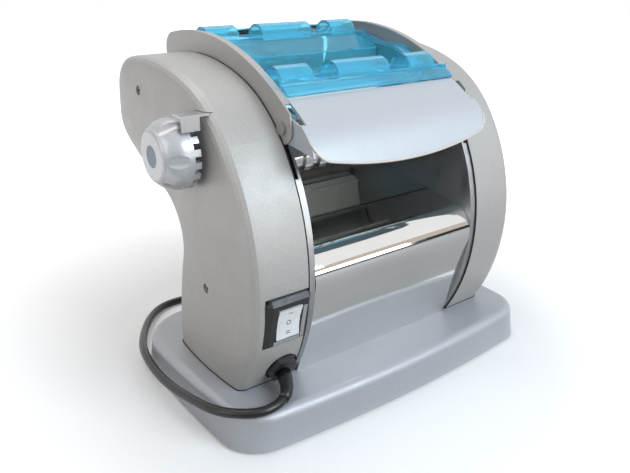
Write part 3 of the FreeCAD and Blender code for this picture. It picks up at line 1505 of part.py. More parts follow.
def tube(edges):
    """A round tube of the cord's size swept along joined edges."""
    path = Part.Wire(edges)
    start = edges[0].valueAt(edges[0].FirstParameter)
    profile = Part.Wire(Part.makeCircle(value("cord_radius"), start, edges[0].tangentAt(edges[0].FirstParameter)))
    swept = path.makePipeShell([profile], True, False)
    print("cord length %.1f, volume by length %.4f" % (
        path.Length, swept.Volume / (math.pi * value("cord_radius") ** 2 * path.Length)))
    return swept


def supply_cord():
    shaped("supply_cord", tube(softened(cord_points())))


def biarc(start, leaving, end, arriving):
    """Two arcs in space that join two points with the directions given."""
    way, both = end - start, leaving + arriving
    slack = 2 * (1 - leaving.dot(arriving))
    lean = way.dot(both)
    reach = (-lean + math.sqrt(lean ** 2 + slack * way.dot(way))) / slack
    joint = (start + end + (leaving - arriving) * reach) * 0.5
    middle = lambda a, direction, b: arc_middle(a, direction, b)[0]
    return [Part.Arc(start, middle(start, leaving, joint), joint).toShape(),
            Part.Arc(joint, middle(end, arriving * -1, joint), end).toShape()]


def coil_crossings():
    """Distances from the coil's middle where each layer crosses the line behind and before it."""
    outer, step = value("coil_outer"), value("coil_pitch") / 2
    lower = [outer - step * k for k in range(6)]
    inmost = lower[-1] - step
    upper = [inmost, lower[-1] + step] + [lower[-1] + step * k for k in range(2, 6)]
    return lower, upper


def half_turns(distances, height, front_first):
    """Half circles that join the crossings of one layer, always turning to the left."""
    centre = V(value("coil_x"), value("coil_y"), height)
    edges, ahead = [], -1 if front_first else 1
    for near, far in zip(distances, distances[1:]):
        start, end = centre + V(0, ahead * near, 0), centre + V(0, -ahead * far, 0)
        middle = (start + end) * 0.5 + V(-ahead * (near + far) / 2, 0, 0)
        edges.append(Part.Arc(start, middle, end).toShape())
        ahead = -ahead
    return edges


def coil_path():
    lower, upper = coil_crossings()
    low, layer = value("cord_radius"), value("coil_pitch")
    straight = value("2 * cord_radius")
    x, y = value("coil_x"), value("coil_y")
    edges = [Part.makeLine(V(x - straight, y - lower[0], low), V(x, y - lower[0], low))]
    edges += half_turns(lower, low, True)
    # The half turn that climbs to the upper layer, as two quarter turns
    radius = (lower[-1] + upper[0]) / 2
    start, end = V(x, y + lower[-1], low), V(x, y - upper[0], low + layer)
    side = V(x - radius, (start.y + end.y) / 2, low + layer / 2)
    rise = V(0, -1, layer / (math.pi * radius / 2)).normalize()
    edges += biarc(start, V(-1, 0, 0), side, rise)
    edges += biarc(side, rise, end, V(1, 0, 0))
    edges += half_turns(upper, low + layer, True)
    last = V(x, y + upper[-1], low + layer)
    edges.append(Part.makeLine(last, last - V(value("coil_lead"), 0, 0)))
    return edges


def least_gap(edges):
    """Least clear distance between parts of the cord more than half a turn apart."""
    points, run, walked = [], [], 0.0
    for edge in edges:
        for point in edge.discretize(max(2, int(edge.Length / 3))):
            if points:
                walked += (point - points[-1]).Length
            points.append(point)
            run.append(walked)
    least = 1e9
    for i, a in enumerate(points):
        for j in range(i + 1, len(points)):
            if run[j] - run[i] > 60:
                least = min(least, (a - points[j]).Length)
    return least - 2 * value("cord_radius")


def cord_coil():
    edges = coil_path()
    print("coil's least gap to itself %.2f" % least_gap(edges))
    shaped("cord_coil", tube(edges))


def plug():
    end_x = "(coil_x - coil_lead)"
    row = "coil_y + coil_outer"
    height = "cord_radius + coil_pitch"
    neck = rod("6", end_x + " - 12", end_x + " + 3", row, height)
    shell = rod("plug_radius", end_x + " - plug_length", end_x + " - 10", row, height)
    bore = rod("cord_radius + run_gap", end_x, end_x + " + 4", row, height)
    group("plug_body", [cut(join([neck, shell]), bore)])
    pins = []
    for side in ("- pin_space / 2", "+ pin_space / 2"):
        pins.append(rod("plug_pin", end_x + " - plug_length - pin_length", end_x + " - plug_length + 0.0",
                        row + " " + side, height))
    group("plug_pins", pins)


# Every sub-part, in building order

def build():
    base_shell()
    rubber_feet()
    base_screws()
    side_plate("left_side_plate", -1)
    side_plate("right_side_plate", 1)
    front_apron()
    outlet_chute()
    rear_panel()
    rear_cover()
    tie_rods()
    casing("left_casing", -1)
    casing("right_casing", 1)
    casing_fasteners()
    arch("left_arch", -1)
    arch("right_arch", 1)
    arch_screws()
    front_hood()
    hood_pivot_screws()
    hopper_guard()
    guard_screws()
    smooth_roller("rear_smooth_roller", REAR)
    smooth_roller("front_smooth_roller", FRONT)
    cutter_roller("rear_cutter_roller", CUTTER_REAR, value("ring_width") + 4.3)
    cutter_roller("front_cutter_roller", CUTTER_FRONT, 4.0)
    bushes("left_bushes", -1)
    bushes("right_bushes", 1)
    roller_scrapers()
    carriages()
    knob_spindle()
    knob()
    knob_cap()
    index_bracket()
    gear_train()
    gear_studs()
    gear_bracket()
    motor_body()
    motor_end_cap()
    gearhead()
    output_shaft()
    motor_cradle()
    switch_bezel()
    switch_body()
    switch_rocker()
    gland()
    supply_cord()
    cord_coil()
    plug()


def check_and_write():
    doc.recompute()
    for thing in doc.Objects:
        if "Invalid" in thing.State or "Error" in thing.State:
            raise RuntimeError("object in error: " + thing.Name)
    for part in subparts:
        if part.Shape.isNull() or not part.Shape.isValid():
            raise RuntimeError("bad shape: " + part.Label)
    os.makedirs("parts", exist_ok=True)
    for part in subparts:
        part.Shape.exportStep("parts/%s.step" % part.Label)


build()
check_and_write()
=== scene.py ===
import json
import math

import bmesh
import bpy
from mathutils import Matrix, Vector

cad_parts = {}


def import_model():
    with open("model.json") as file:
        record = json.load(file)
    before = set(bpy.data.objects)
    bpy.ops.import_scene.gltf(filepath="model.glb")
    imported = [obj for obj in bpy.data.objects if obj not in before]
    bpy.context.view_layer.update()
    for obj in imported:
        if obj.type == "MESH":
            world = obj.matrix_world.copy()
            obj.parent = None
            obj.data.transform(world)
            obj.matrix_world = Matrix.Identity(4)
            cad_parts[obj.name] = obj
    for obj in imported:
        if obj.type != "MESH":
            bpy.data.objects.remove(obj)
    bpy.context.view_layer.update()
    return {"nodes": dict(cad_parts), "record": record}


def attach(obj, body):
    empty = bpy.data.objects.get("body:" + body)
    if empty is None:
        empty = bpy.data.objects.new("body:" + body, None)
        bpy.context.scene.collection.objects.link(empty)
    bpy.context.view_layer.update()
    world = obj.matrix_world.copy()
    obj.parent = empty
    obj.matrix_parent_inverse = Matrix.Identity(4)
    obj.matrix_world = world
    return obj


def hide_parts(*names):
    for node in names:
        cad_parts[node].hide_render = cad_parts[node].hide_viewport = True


# Electric pasta maker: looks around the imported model, in metres, +X right, +Y back, +Z up

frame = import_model()
nodes = frame["nodes"]

# The machine's drawing is in millimetres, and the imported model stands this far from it

MM = 0.001
MOVED_RIGHT = 1.0
MOVED_BACK = -22.2


def row(x, y, z):
    """A place of the machine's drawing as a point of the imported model, in metres."""
    return Vector(((x + MOVED_RIGHT) * MM, (y + MOVED_BACK) * MM, z * MM))


def placed(name, data):
    """A new object that shows the data."""
    made = bpy.data.objects.new(name, data)
    bpy.context.scene.collection.objects.link(made)
    return made


# Camera at the photograph's place

CAMERA_PLACE = (-0.3311, -0.4237, 0.3202)
CAMERA_RIGHT = (0.7988, -0.6016, 0.0048)
CAMERA_BACK = (-0.5581, -0.7379, 0.3795)
CAMERA_LENS = 38.19
CAMERA_SENSOR = 36.0
CAMERA_NEAR = 0.01


def camera():
    data = bpy.data.cameras.new("camera")
    data.lens = CAMERA_LENS
    data.sensor_width = CAMERA_SENSOR
    data.sensor_fit = "HORIZONTAL"
    data.clip_start = CAMERA_NEAR
    made = placed("camera", data)
    right = Vector(CAMERA_RIGHT).normalized()
    back = Vector(CAMERA_BACK).normalized()
    up = back.cross(right).normalized()
    right = up.cross(back).normalized()
    turn = Matrix((right, up, back)).transposed().to_4x4()
    made.matrix_world = Matrix.Translation(CAMERA_PLACE) @ turn
    bpy.context.scene.camera = made


camera()


# Supply cord: one spline from the gland, round the base and into its coil

CORD_RADIUS = 0.0035
ROUTE = [(-99.1, -40.96, 51.4), (-99.1, -70.1, 37.2), (-128.5, -83, 34.6), (-155.5, -62, 33.6),
         (-160.0, -25, 26.5), (-161.5, 14, 19.5), (-158.5, 50, 16.5), (-152.8, 78, 15.0),
         (-140, 107, 10.5), (-118.5, 142, 5.5), (-96, 160.5, 3.6), (-66, 159.5, 3.5), (-40, 144, 3.5),
         (-16, 126, 3.5), (53, 126, 3.5)]

# The coil's radii at its half turns, inwards in the lower layer and outwards in the upper one

LOWER_LAYER = [46, 42.2, 38.4, 34.6, 30.8, 27]
UPPER_LAYER = [23.2, 30.8, 34.6, 38.4, 42.2, 46]
COIL_MIDDLE = (62, 172)
LOW, HIGH = 3.5, 11.1
COIL_END = [(53, 218, HIGH), (36, 218, HIGH)]
STEPS = 8


def half_turn(near, far, ahead, low, high):
    """Control points of one half turn, its radius and height going from near and low to far and high."""
    radius = (near + far) / 2
    middle = COIL_MIDDLE[1] + ahead * (near - far) / 2
    points = []
    for k in range(STEPS):
        share = (k + 0.5) / STEPS
        angle = math.pi * share
        reach = radius / math.cos(math.pi / STEPS / 2)
        rise = 0.5 - 0.5 * math.cos(angle)
        points.append((COIL_MIDDLE[0] - ahead * reach * math.sin(angle),
                       middle + ahead * reach * math.cos(angle), low + (high - low) * rise))
    return points


def coil_points():
    """Control points of the coil, its half turns lying in front of the middle and behind it by turns."""
    points, ahead = [], -1
    for near, far in zip(LOWER_LAYER, LOWER_LAYER[1:]):
        points += half_turn(near, far, ahead, LOW, LOW)
        ahead = -ahead
    points += half_turn(LOWER_LAYER[-1], UPPER_LAYER[0], ahead, LOW, HIGH)
    ahead = -ahead
    for near, far in zip(UPPER_LAYER, UPPER_LAYER[1:]):
        points += half_turn(near, far, ahead, HIGH, HIGH)
        ahead = -ahead
    return points + COIL_END


def spline(name, points, radius):
    """A round line on control points of the drawing, its thickness kept in the points' own radius."""
    data = bpy.data.curves.new(name, "CURVE")
    data.dimensions = "3D"
    line = data.splines.new("NURBS")
    line.points.add(len(points) - 1)
    for point, place in zip(line.points, points):
        point.co = (*row(*place), 1.0)
        point.radius = radius
    line.order_u = 3
    line.use_endpoint_u = True
    line.resolution_u = 6
    data.bevel_depth = 1.0
    data.bevel_resolution = 4
    data.use_fill_caps = True
    return placed(name, data)


cord = spline("supply_lead", ROUTE + coil_points(), CORD_RADIUS)
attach(cord, "machine")
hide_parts("supply_cord", "cord_coil")


# Mesh helpers

def link(name, mesh, material, body):
    """A new piece that rides on a body and takes the material given."""
    made = placed(name, mesh)
    mesh.materials.append(material)
    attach(made, body)
    return made


def baked(name, mesh):
    """The edit mesh as mesh data."""
    made = bpy.data.meshes.new(name)
    mesh.to_mesh(made)
    mesh.free()
    return made


def skin(name, places, smooth=False):
    """A closed skin through rings of as many places each, with a cap at both ends."""
    mesh = bmesh.new()
    rings = [[mesh.verts.new(place) for place in ring] for ring in places]
    for a, b in zip(rings, rings[1:]):
        for k in range(len(a)):
            ahead = (k + 1) % len(a)
            face = mesh.faces.new((a[k], a[ahead], b[ahead], b[k]))
            face.smooth = smooth
    mesh.faces.new(list(reversed(rings[0])))
    mesh.faces.new(rings[-1])
    bmesh.ops.recalc_face_normals(mesh, faces=mesh.faces)
    return baked(name, mesh)


def sleeve(name, points, radius_at, sides=24):
    """A closed round skin along points, its radius a function of the way gone."""
    rings, gone = [], 0.0
    for i, point in enumerate(points):
        if i:
            gone += (point - points[i - 1]).length
        way = (points[min(i + 1, len(points) - 1)] - points[max(i - 1, 0)]).normalized()
        side = way.cross(Vector((0, 0, 1))).normalized()
        lift = side.cross(way)
        radius = radius_at(gone)
        ring = []
        for k in range(sides):
            angle = 2 * math.pi * k / sides
            ring.append(point + (side * math.cos(angle) + lift * math.sin(angle)) * radius)
        rings.append(ring)
    return skin(name, rings, smooth=True)


def centreline(curve):
    """The points of a curve's own line."""
    bare = curve.copy()
    bare.data = curve.data.copy()
    bare.data.bevel_depth = 0
    bpy.context.scene.collection.objects.link(bare)
    bpy.context.view_layer.update()
    mesh = bpy.data.meshes.new_from_object(bare.evaluated_get(bpy.context.evaluated_depsgraph_get()))
    points = [v.co.copy() for v in mesh.vertices]
    bpy.data.objects.remove(bare)
    return points


# Materials. A noise mostly stays between NOISE_LOW and NOISE_HIGH.

NOISE_LOW, NOISE_HIGH = 0.3, 0.7


class Look:
    """A procedural material built round one Principled shader."""

    def __init__(self, name, colour, metallic, roughness, **sockets):
        self.material = bpy.data.materials.new(name)
        self.material.use_nodes = True
        self.tree = self.material.node_tree
        self.shader = self.tree.nodes["Principled BSDF"]
        self.shader.inputs["Base Color"].default_value = (*colour, 1)
        self.shader.inputs["Metallic"].default_value = metallic
        self.shader.inputs["Roughness"].default_value = roughness
        for socket, number in sockets.items():
            self.shader.inputs[socket.replace("_", " ")].default_value = number
        self.where = self.tree.nodes.new("ShaderNodeTexCoord")
        self.colour = colour

    def noise(self, scale, stretch=(1, 1, 1), detail=3.0):
        mapping = self.tree.nodes.new("ShaderNodeMapping")
        mapping.inputs["Scale"].default_value = stretch
        self.tree.links.new(self.where.outputs["Object"], mapping.inputs["Vector"])
        made = self.tree.nodes.new("ShaderNodeTexNoise")
        made.inputs["Scale"].default_value = scale
        made.inputs["Detail"].default_value = detail
        self.tree.links.new(mapping.outputs["Vector"], made.inputs["Vector"])
        return made.outputs["Fac"]

    def ramp(self, source, low_place, low_colour, high_place, high_colour):
        """Paints the base colour from one colour to another along a source."""
        made = self.tree.nodes.new("ShaderNodeValToRGB")
        low, high = made.color_ramp.elements
        low.position = low_place
        high.position = high_place
        low.color = (*low_colour, 1)
        high.color = (*high_colour, 1)
        self.tree.links.new(source, made.inputs["Fac"])
        self.tree.links.new(made.outputs["Color"], self.shader.inputs["Base Color"])

    def shade(self, source, amount):
        """Lightens and darkens the base colour by a share of itself."""
        darker = [c * (1 - amount) for c in self.colour]
        lighter = [min(1.0, c * (1 + amount)) for c in self.colour]
        self.ramp(source, NOISE_LOW, darker, NOISE_HIGH, lighter)

    def rough(self, source, low, high):
        """Lets the roughness wander between two values."""
        made = self.tree.nodes.new("ShaderNodeMapRange")
        made.inputs["From Min"].default_value = NOISE_LOW
        made.inputs["From Max"].default_value = NOISE_HIGH
        made.inputs["To Min"].default_value = low
        made.inputs["To Max"].default_value = high
        self.tree.links.new(source, made.inputs["Value"])
        self.tree.links.new(made.outputs["Result"], self.shader.inputs["Roughness"])

    def bump(self, source, distance, strength):
        made = self.tree.nodes.new("ShaderNodeBump")
        made.inputs["Strength"].default_value = strength
        made.inputs["Distance"].default_value = distance
        self.tree.links.new(source, made.inputs["Height"])
        self.tree.links.new(made.outputs["Normal"], self.shader.inputs["Normal"])


def paint(name, colour, grain, roughness):
    """Silver enamel with fine flakes under a thin coat."""
    made = Look(name, colour, metallic=0.30, roughness=roughness, Coat_Weight=0.10, Coat_Roughness=0.35)
    made.shade(made.noise(scale=900), amount=grain)
    made.rough(made.noise(scale=60), low=roughness - 0.04, high=roughness + 0.06)
    made.bump(made.noise(scale=700), distance=0.00012, strength=0.35)
    return made.material


def sheet_metal(name, colour, roughness, stretch=(1, 1, 1), grain=0.05, scale=500):
    """Bare or plated metal, brushed along the axis that stretch makes smallest."""
    made = Look(name, colour, metallic=1.0, roughness=roughness)
    lines = made.noise(scale, stretch)
    made.shade(lines, amount=grain)
    made.rough(lines, low=roughness * 0.8, high=roughness * 1.25)
    made.bump(lines, distance=0.00003, strength=0.25)
    return made.material


def plastic(name, colour, roughness, grain=0.05, bump=0.00008):
    """Moulded plastic or rubber with a fine grain, bump its depth in metres."""
    made = Look(name, colour, metallic=0.0, roughness=roughness)
    made.shade(made.noise(scale=120), amount=grain)
    made.rough(made.noise(scale=200), low=roughness * 0.85, high=roughness * 1.15)
    made.bump(made.noise(scale=800), distance=bump, strength=0.4)
    return made.material


def polished(name, colour):
    """Mirror sheet with the slight waves of rolled metal and a few soft smears."""
    made = Look(name, colour, metallic=1.0, roughness=0.05)
    made.shade(made.noise(scale=14, stretch=(1, 3, 3)), amount=0.03)
    made.rough(made.noise(scale=25, stretch=(1, 2, 2)), low=0.03, high=0.08)
    made.bump(made.noise(scale=5, stretch=(1, 2, 2), detail=0.0), distance=0.00005, strength=0.03)
    return made.material


CYAN_FACING, BLUE_EDGE_ON = (0.24, 0.74, 0.90), (0.01, 0.08, 0.40)


def clear_blue(name, colour):
    """Clear moulding, deep blue where it is seen edge on."""
    made = Look(name, colour, metallic=0.0, roughness=0.05, Transmission_Weight=0.84, IOR=1.30)
    facing = made.tree.nodes.new("ShaderNodeLayerWeight")
    facing.inputs["Blend"].default_value = 0.22
    made.ramp(facing.outputs["Facing"], 0.15, CYAN_FACING, 0.85, BLUE_EDGE_ON)
    made.rough(made.noise(scale=30), low=0.03, high=0.10)
    made.bump(made.noise(scale=20), distance=0.0002, strength=0.15)
    return made.material


LOOKS = {
    "casing_paint": paint("casing_paint_look", (0.43, 0.42, 0.405), grain=0.07, roughness=0.48),
    "base_paint": paint("base_paint_look", (0.43, 0.445, 0.475), grain=0.05, roughness=0.46),
    "hood_paint": paint("hood_paint_look", (0.50, 0.53, 0.565), grain=0.03, roughness=0.46),
    # The hood rim's paler, warmer paint is a painted highlight along its rolled edge
    "rim_painted_highlight": paint("rim_pale_look", (0.62, 0.59, 0.55), grain=0.03, roughness=0.40),
    "strip_grey": plastic("strip_grey_look", (0.30, 0.305, 0.31), 0.30),
    "polished_steel": polished("polished_steel_look", (0.78, 0.78, 0.77)),
    "plate_steel": sheet_metal("plate_steel_look", (0.42, 0.425, 0.44), 0.40,
                               stretch=(1, 1, 0.1), grain=0.03, scale=300),
    "roller_steel": sheet_metal("roller_steel_look", (0.62, 0.62, 0.62), 0.16, stretch=(8, 1, 1)),
    "screw_steel": sheet_metal("screw_steel_look", (0.42, 0.42, 0.42), 0.30, grain=0.02, scale=120),
    "gear_steel": sheet_metal("gear_steel_look", (0.22, 0.22, 0.23), 0.42, grain=0.12),
    "bearing_bronze": sheet_metal("bearing_bronze_look", (0.50, 0.32, 0.13), 0.35),
    "guard_plastic": clear_blue("guard_plastic_look", (0.30, 0.80, 0.95)),
    "knob_silver": paint("knob_silver_look", (0.52, 0.53, 0.55), grain=0.03, roughness=0.26),
    "cap_blue": plastic("cap_blue_look", (0.045, 0.12, 0.20), 0.18, grain=0.1),
    "frame_black": plastic("frame_black_look", (0.022, 0.022, 0.024), 0.36, grain=0.1, bump=0.0001),
    "rocker_white": plastic("rocker_white_look", (0.72, 0.74, 0.76), 0.26, grain=0.03),
    "carriage_plastic": plastic("carriage_plastic_look", (0.62, 0.62, 0.56), 0.45),
    "scraper_plastic": plastic("scraper_plastic_look", (0.70, 0.70, 0.65), 0.40),
    "motor_steel": plastic("motor_steel_look", (0.03, 0.03, 0.033), 0.40, grain=0.12),
    "motor_cap": sheet_metal("motor_cap_look", (0.50, 0.51, 0.52), 0.40),
    "rubber_black": plastic("rubber_black_look", (0.02, 0.02, 0.02), 0.75, grain=0.15, bump=0.0002),
    "cord_black": plastic("cord_black_look", (0.008, 0.008, 0.009), 0.30, grain=0.15, bump=0.0001),
    "pin_brass": sheet_metal("pin_brass_look", (0.62, 0.50, 0.24), 0.25),
}

slot_of = {part["node"]: part["material_slot"] for part in frame["record"]["subparts"]}
for name, made in nodes.items():
    look = LOOKS[slot_of[name]]
    if made.material_slots:
        for place in made.material_slots:
            place.material = look
    else:
        made.data.materials.append(look)
cord.data.materials.append(LOOKS["cord_black"])

# Light falls through the clear guard onto the rollers

nodes["hopper_guard"].visible_shadow = False


# Strain relief where the cord leaves the gland: a taper that bends with it, in metres along the cord

BOOT_START, BOOT_END = 0.015, 0.040
BOOT_RADIUS = 0.0058
BOOT_THINS_BY = 0.0019


def boot():
    points, gone = [], 0.0
    run = centreline(cord)
    for a, b in zip(run, run[1:]):
        gone += (b - a).length
        if gone > BOOT_START:
            points.append(b)
        if gone > BOOT_END:
            break
    length = sum((b - a).length for a, b in zip(points, points[1:]))

    def radius(way):
        share = way / length
        return BOOT_RADIUS - BOOT_THINS_BY * share

    mesh = sleeve("cord_boot", points, radius)
    return link("cord_boot", mesh, LOOKS["cord_black"], "machine")


relief = boot()


# The switch: its middle, its axes and its faces, in millimetres out from the middle

SWITCH = row(-103.5, -65.0, 92.5)
SWITCH_LEAN = math.radians(102)
SWITCH_UP = Vector((0, math.cos(SWITCH_LEAN), math.sin(SWITCH_LEAN)))
SWITCH_OUT = Vector((0, -math.sin(SWITCH_LEAN), math.cos(SWITCH_LEAN)))
ROCKER_FACE = 4.9
ROCKER_HOLLOW_RADIUS = 52.8
BEZEL_FACE = 5.5


def on_switch(u, v, out):
    """A place u to the right of the switch's middle, v up and out from it, in millimetres."""
    return SWITCH + Vector((u * MM, 0, 0)) + SWITCH_UP * (v * MM) + SWITCH_OUT * (out * MM)


def on_rocker(u, v, proud):
    """A place that stands proud of the rocker's hollow face."""
    return on_switch(u, v, ROCKER_FACE + v * v / (2 * ROCKER_HOLLOW_RADIUS) + proud)


def on_bezel(u, v, lift):
    """A place above the bezel's face."""
    return on_switch(u, v, BEZEL_FACE + lift)


# Marks on the rocker: a bar, a ring and two bars, lying on its hollow face

MARK_PROUD = 0.12
BAR_HALF_LENGTH, BAR_HALF_WIDTH = 1.9, 0.3
BARS_AT = [8.6, -7.4, -9.0]
RING_OUTER, RING_INNER = 1.9, 1.35
RING_SIDES = 28


def bar(v):
    """The corners of a bar across the rocker at height v."""
    left, right = -BAR_HALF_LENGTH, BAR_HALF_LENGTH
    low, high = v - BAR_HALF_WIDTH, v + BAR_HALF_WIDTH
    return [(left, low), (right, low), (right, high), (left, high)]


def ring(outer, inner, sides):
    """The corners of each side of a flat ring round the rocker's middle."""
    faces = []
    for k in range(sides):
        a, b = 2 * math.pi * k / sides, 2 * math.pi * (k + 1) / sides
        faces.append([(radius * math.cos(angle), radius * math.sin(angle))
                      for radius, angle in ((inner, a), (outer, a), (outer, b), (inner, b))])
    return faces


def rocker_marks():
    mesh = bmesh.new()
    for corners in [bar(v) for v in BARS_AT] + ring(RING_OUTER, RING_INNER, RING_SIDES):
        mesh.faces.new([mesh.verts.new(on_rocker(u, v, MARK_PROUD)) for u, v in corners])
    link("rocker_marks", baked("rocker_marks", mesh), LOOKS["frame_black"], "rocker")


rocker_marks()


# Thin trim drawn along the casing's and the hood's own edges, in the drawing's millimetres

def arc_run(points, way, steps=10):
    """Places along arcs through the points, each arc leaving as the one before arrives."""
    found = [Vector(points[0])]
    way = Vector(way).normalized()
    for start, end in zip(points, points[1:]):
        start, end = Vector(start), Vector(end)
        chord = end - start
        lean = math.atan2(way.x * chord.y - way.y * chord.x, way.dot(chord))
        straight = abs(lean) < 1e-6
        for k in range(1, steps + 1):
            part = 2 * lean * k / steps
            if straight:
                reach = chord.length * k / steps
            else:
                reach = chord.length * math.sin(part / 2) / math.sin(lean)
            angle = math.atan2(way.y, way.x) + part / 2
            found.append(start + Vector((math.cos(angle), math.sin(angle))) * reach)
        angle = math.atan2(way.y, way.x) + 2 * lean
        way = Vector((math.cos(angle), math.sin(angle)))
    return found


def arc_through(a, b, c, steps):
    """Places on the circle through three points, from the first to the last."""
    d = 2 * (a.x * (b.y - c.y) + b.x * (c.y - a.y) + c.x * (a.y - b.y))
    aa, bb, cc = a.length_squared, b.length_squared, c.length_squared
    middle = Vector(((aa * (b.y - c.y) + bb * (c.y - a.y) + cc * (a.y - b.y)) / d,
                     (aa * (c.x - b.x) + bb * (a.x - c.x) + cc * (b.x - a.x)) / d))
    start = math.atan2(a.y - middle.y, a.x - middle.x)
    span = math.atan2(c.y - middle.y, c.x - middle.x) - start
    span = (span + math.pi) % (2 * math.pi) - math.pi
    radius = (a - middle).length
    angles = [start + span * k / steps for k in range(steps + 1)]
    return [middle + Vector((math.cos(angle), math.sin(angle))) * radius for angle in angles]


# The casings' front edge, as Y and Z, and the foot that they stand on

BASE_TOP = 30
FOOT_FRONT, FOOT_MIDDLE, FOOT_REAR = -44.5, 3, 50
FRONT_EDGE = [(75, 255.5), (10, 244.5), (-37, 211), (-69.5, 122), (FOOT_FRONT, BASE_TOP)]
CASING_INNER = 85.7
CASING_BULGE = 47.2
INSIDE_CASING = (20, 150)
SWELL = [(0.0, 0.0), (0.006, 0.78), (0.014, 0.84), (0.040, 0.896), (0.085, 0.932), (0.14, 0.948),
         (0.28, 0.965), (0.48, 0.981), (0.70, 0.994), (0.88, 1.0)]

SEAM_INNER, SEAM_OUTER = 85.35, 86.25
SEAM_PROUD, SEAM_DEPTH = 0.28, 0.6
# A black strip under each casing's foot is painted shade along the line where it meets the base
SHADE_STRIP_PAST_SIDE, SHADE_STRIP_PAST_ENDS = 0.5, 0.55
SHADE_STRIP_WIDTH = 1.2
SHADE_STRIP_LOW, SHADE_STRIP_HIGH = BASE_TOP + 0.02, BASE_TOP + 0.75


def seam(name, side):
    """Black sealing strip between a casing and the plate behind it."""
    run = arc_run(FRONT_EDGE, (-1, 0))
    sections = []
    for before, place, after in zip([run[0]] + run, run, run[1:] + [run[-1]]):
        way = (after - before).normalized()
        out = Vector((way.y, -way.x))
        if out.dot(place - Vector(INSIDE_CASING)) < 0:
            out = -out
        near, far = place + out * SEAM_PROUD, place - out * SEAM_DEPTH
        corners = ((SEAM_INNER, near), (SEAM_OUTER, near), (SEAM_OUTER, far), (SEAM_INNER, far))
        sections.append([row(side * x, p.x, p.y) for x, p in corners])
    link(name, skin(name, sections), LOOKS["rubber_black"], "machine")


def foot_shade_strip(name, side):
    """Black strip under a casing's foot, a hair wider than the foot: painted shade where the casing meets the
    base.
    """
    outline = []
    for share, out in SWELL:
        outline.append((CASING_INNER + CASING_BULGE * out + SHADE_STRIP_PAST_SIDE,
                        FOOT_FRONT + (FOOT_MIDDLE - FOOT_FRONT) * share - SHADE_STRIP_PAST_ENDS, SHADE_STRIP_WIDTH))
    for share, out in reversed(SWELL):
        outline.append((CASING_INNER + CASING_BULGE * out + SHADE_STRIP_PAST_SIDE,
                        FOOT_REAR - (FOOT_REAR - FOOT_MIDDLE) * share + SHADE_STRIP_PAST_ENDS, -SHADE_STRIP_WIDTH))
    sections = []
    for x, y, inward in outline:
        inner_x, inner_y = x - SHADE_STRIP_WIDTH, y + inward
        corners = ((x, y, SHADE_STRIP_LOW), (x, y, SHADE_STRIP_HIGH),
                   (inner_x, inner_y, SHADE_STRIP_HIGH), (inner_x, inner_y, SHADE_STRIP_LOW))
        sections.append([row(side * a, b, z) for a, b, z in corners])
    link(name, skin(name, sections), LOOKS["rubber_black"], "machine")


for word, side in (("left", -1), ("right", 1)):
    seam(word + "_seam", side)
    foot_shade_strip(word + "_foot_shade_strip", side)


# The hood's side profile from its pivot, as Y and Z, and its lower edge, as X and Z from the pivot

PIVOT = (-38.0, 218.0)
HOOD_HALF = 83.6
HOOD_PROFILE = [(-40, -25), (-32.5, -9.5), (-19, 5), (1.5, 18)]
HOOD_PROFILE_WAY = (0.34, 0.94)
EDGE_LOWEST = (0, -25)
CORNER_START = (HOOD_HALF - 10, -17)
CORNER_MIDDLE = (HOOD_HALF - 4.1, -12.8)
CORNER_END = (HOOD_HALF - 0.3, -5)
RIM_PROUD, RIM_LIFT = 0.25, 0.35
RIM_RADIUS = 0.00085


def hood_rim():
    """Thin rolled rim along the hood's lower edge, its lighter, warmer paint a painted highlight along the
    edge.
    """
    face = arc_run([(PIVOT[0] + y, PIVOT[1] + z) for y, z in HOOD_PROFILE], HOOD_PROFILE_WAY, 16)

    def on_face(height):
        for a, b in zip(face, face[1:]):
            if a.y <= height <= b.y:
                return a.x + (b.x - a.x) * (height - a.y) / (b.y - a.y)
        return face[0].x

    corner = Vector(CORNER_START)
    bow = arc_through(Vector((-corner.x, corner.y)), Vector(EDGE_LOWEST), corner, 40)
    right = arc_through(corner, Vector(CORNER_MIDDLE), Vector(CORNER_END), 8)
    left = [Vector((-p.x, p.y)) for p in reversed(right)]
    edge = left + bow[1:-1] + right
    points = [row(p.x, on_face(PIVOT[1] + p.y) + RIM_PROUD, PIVOT[1] + p.y + RIM_LIFT) for p in edge]
    mesh = sleeve("hood_rim", points, lambda gone: RIM_RADIUS, sides=10)
    link("hood_rim", mesh, LOOKS["rim_painted_highlight"], "hood")


hood_rim()


# Grey strips beside and below the rocker, and the raised panel on the rocker's face

STRIP_SUNK, STRIP_LIFT = -0.3, 0.35
STRIP_BEVEL = 0.3
PANEL_HALF_HEIGHT = 10.6
PANEL_STEPS = 14
PANEL_SECTION = ((-7.4, -0.2), (-7.1, 0.09), (7.1, 0.09), (7.4, -0.2))


def bezel_strip(name, low, high):
    """A bevelled strip between two corners of the bezel's face."""
    def corners(inset, lift):
        left, right = low[0] + inset, high[0] - inset
        foot, head = low[1] + inset, high[1] - inset
        return [on_bezel(u, v, lift) for u, v in ((left, foot), (right, foot), (right, head), (left, head))]

    mesh = skin(name, [corners(0, STRIP_SUNK), corners(STRIP_BEVEL, STRIP_LIFT)])
    link(name, mesh, LOOKS["strip_grey"], "machine")


def rocker_panel():
    rows = []
    for k in range(PANEL_STEPS + 1):
        v = -PANEL_HALF_HEIGHT + 2 * PANEL_HALF_HEIGHT * k / PANEL_STEPS
        rows.append([on_rocker(u, v, proud) for u, proud in PANEL_SECTION])
    link("rocker_panel", skin("rocker_panel", rows), LOOKS["rocker_white"], "rocker")


rocker_panel()
bezel_strip("bezel_side_strip", (10.6, -16.6), (14.2, 11.5))
bezel_strip("bezel_foot_strip", (-11.5, -17.0), (10.5, -13.9))


# Floor and world, white for the camera and for what metal and glass show

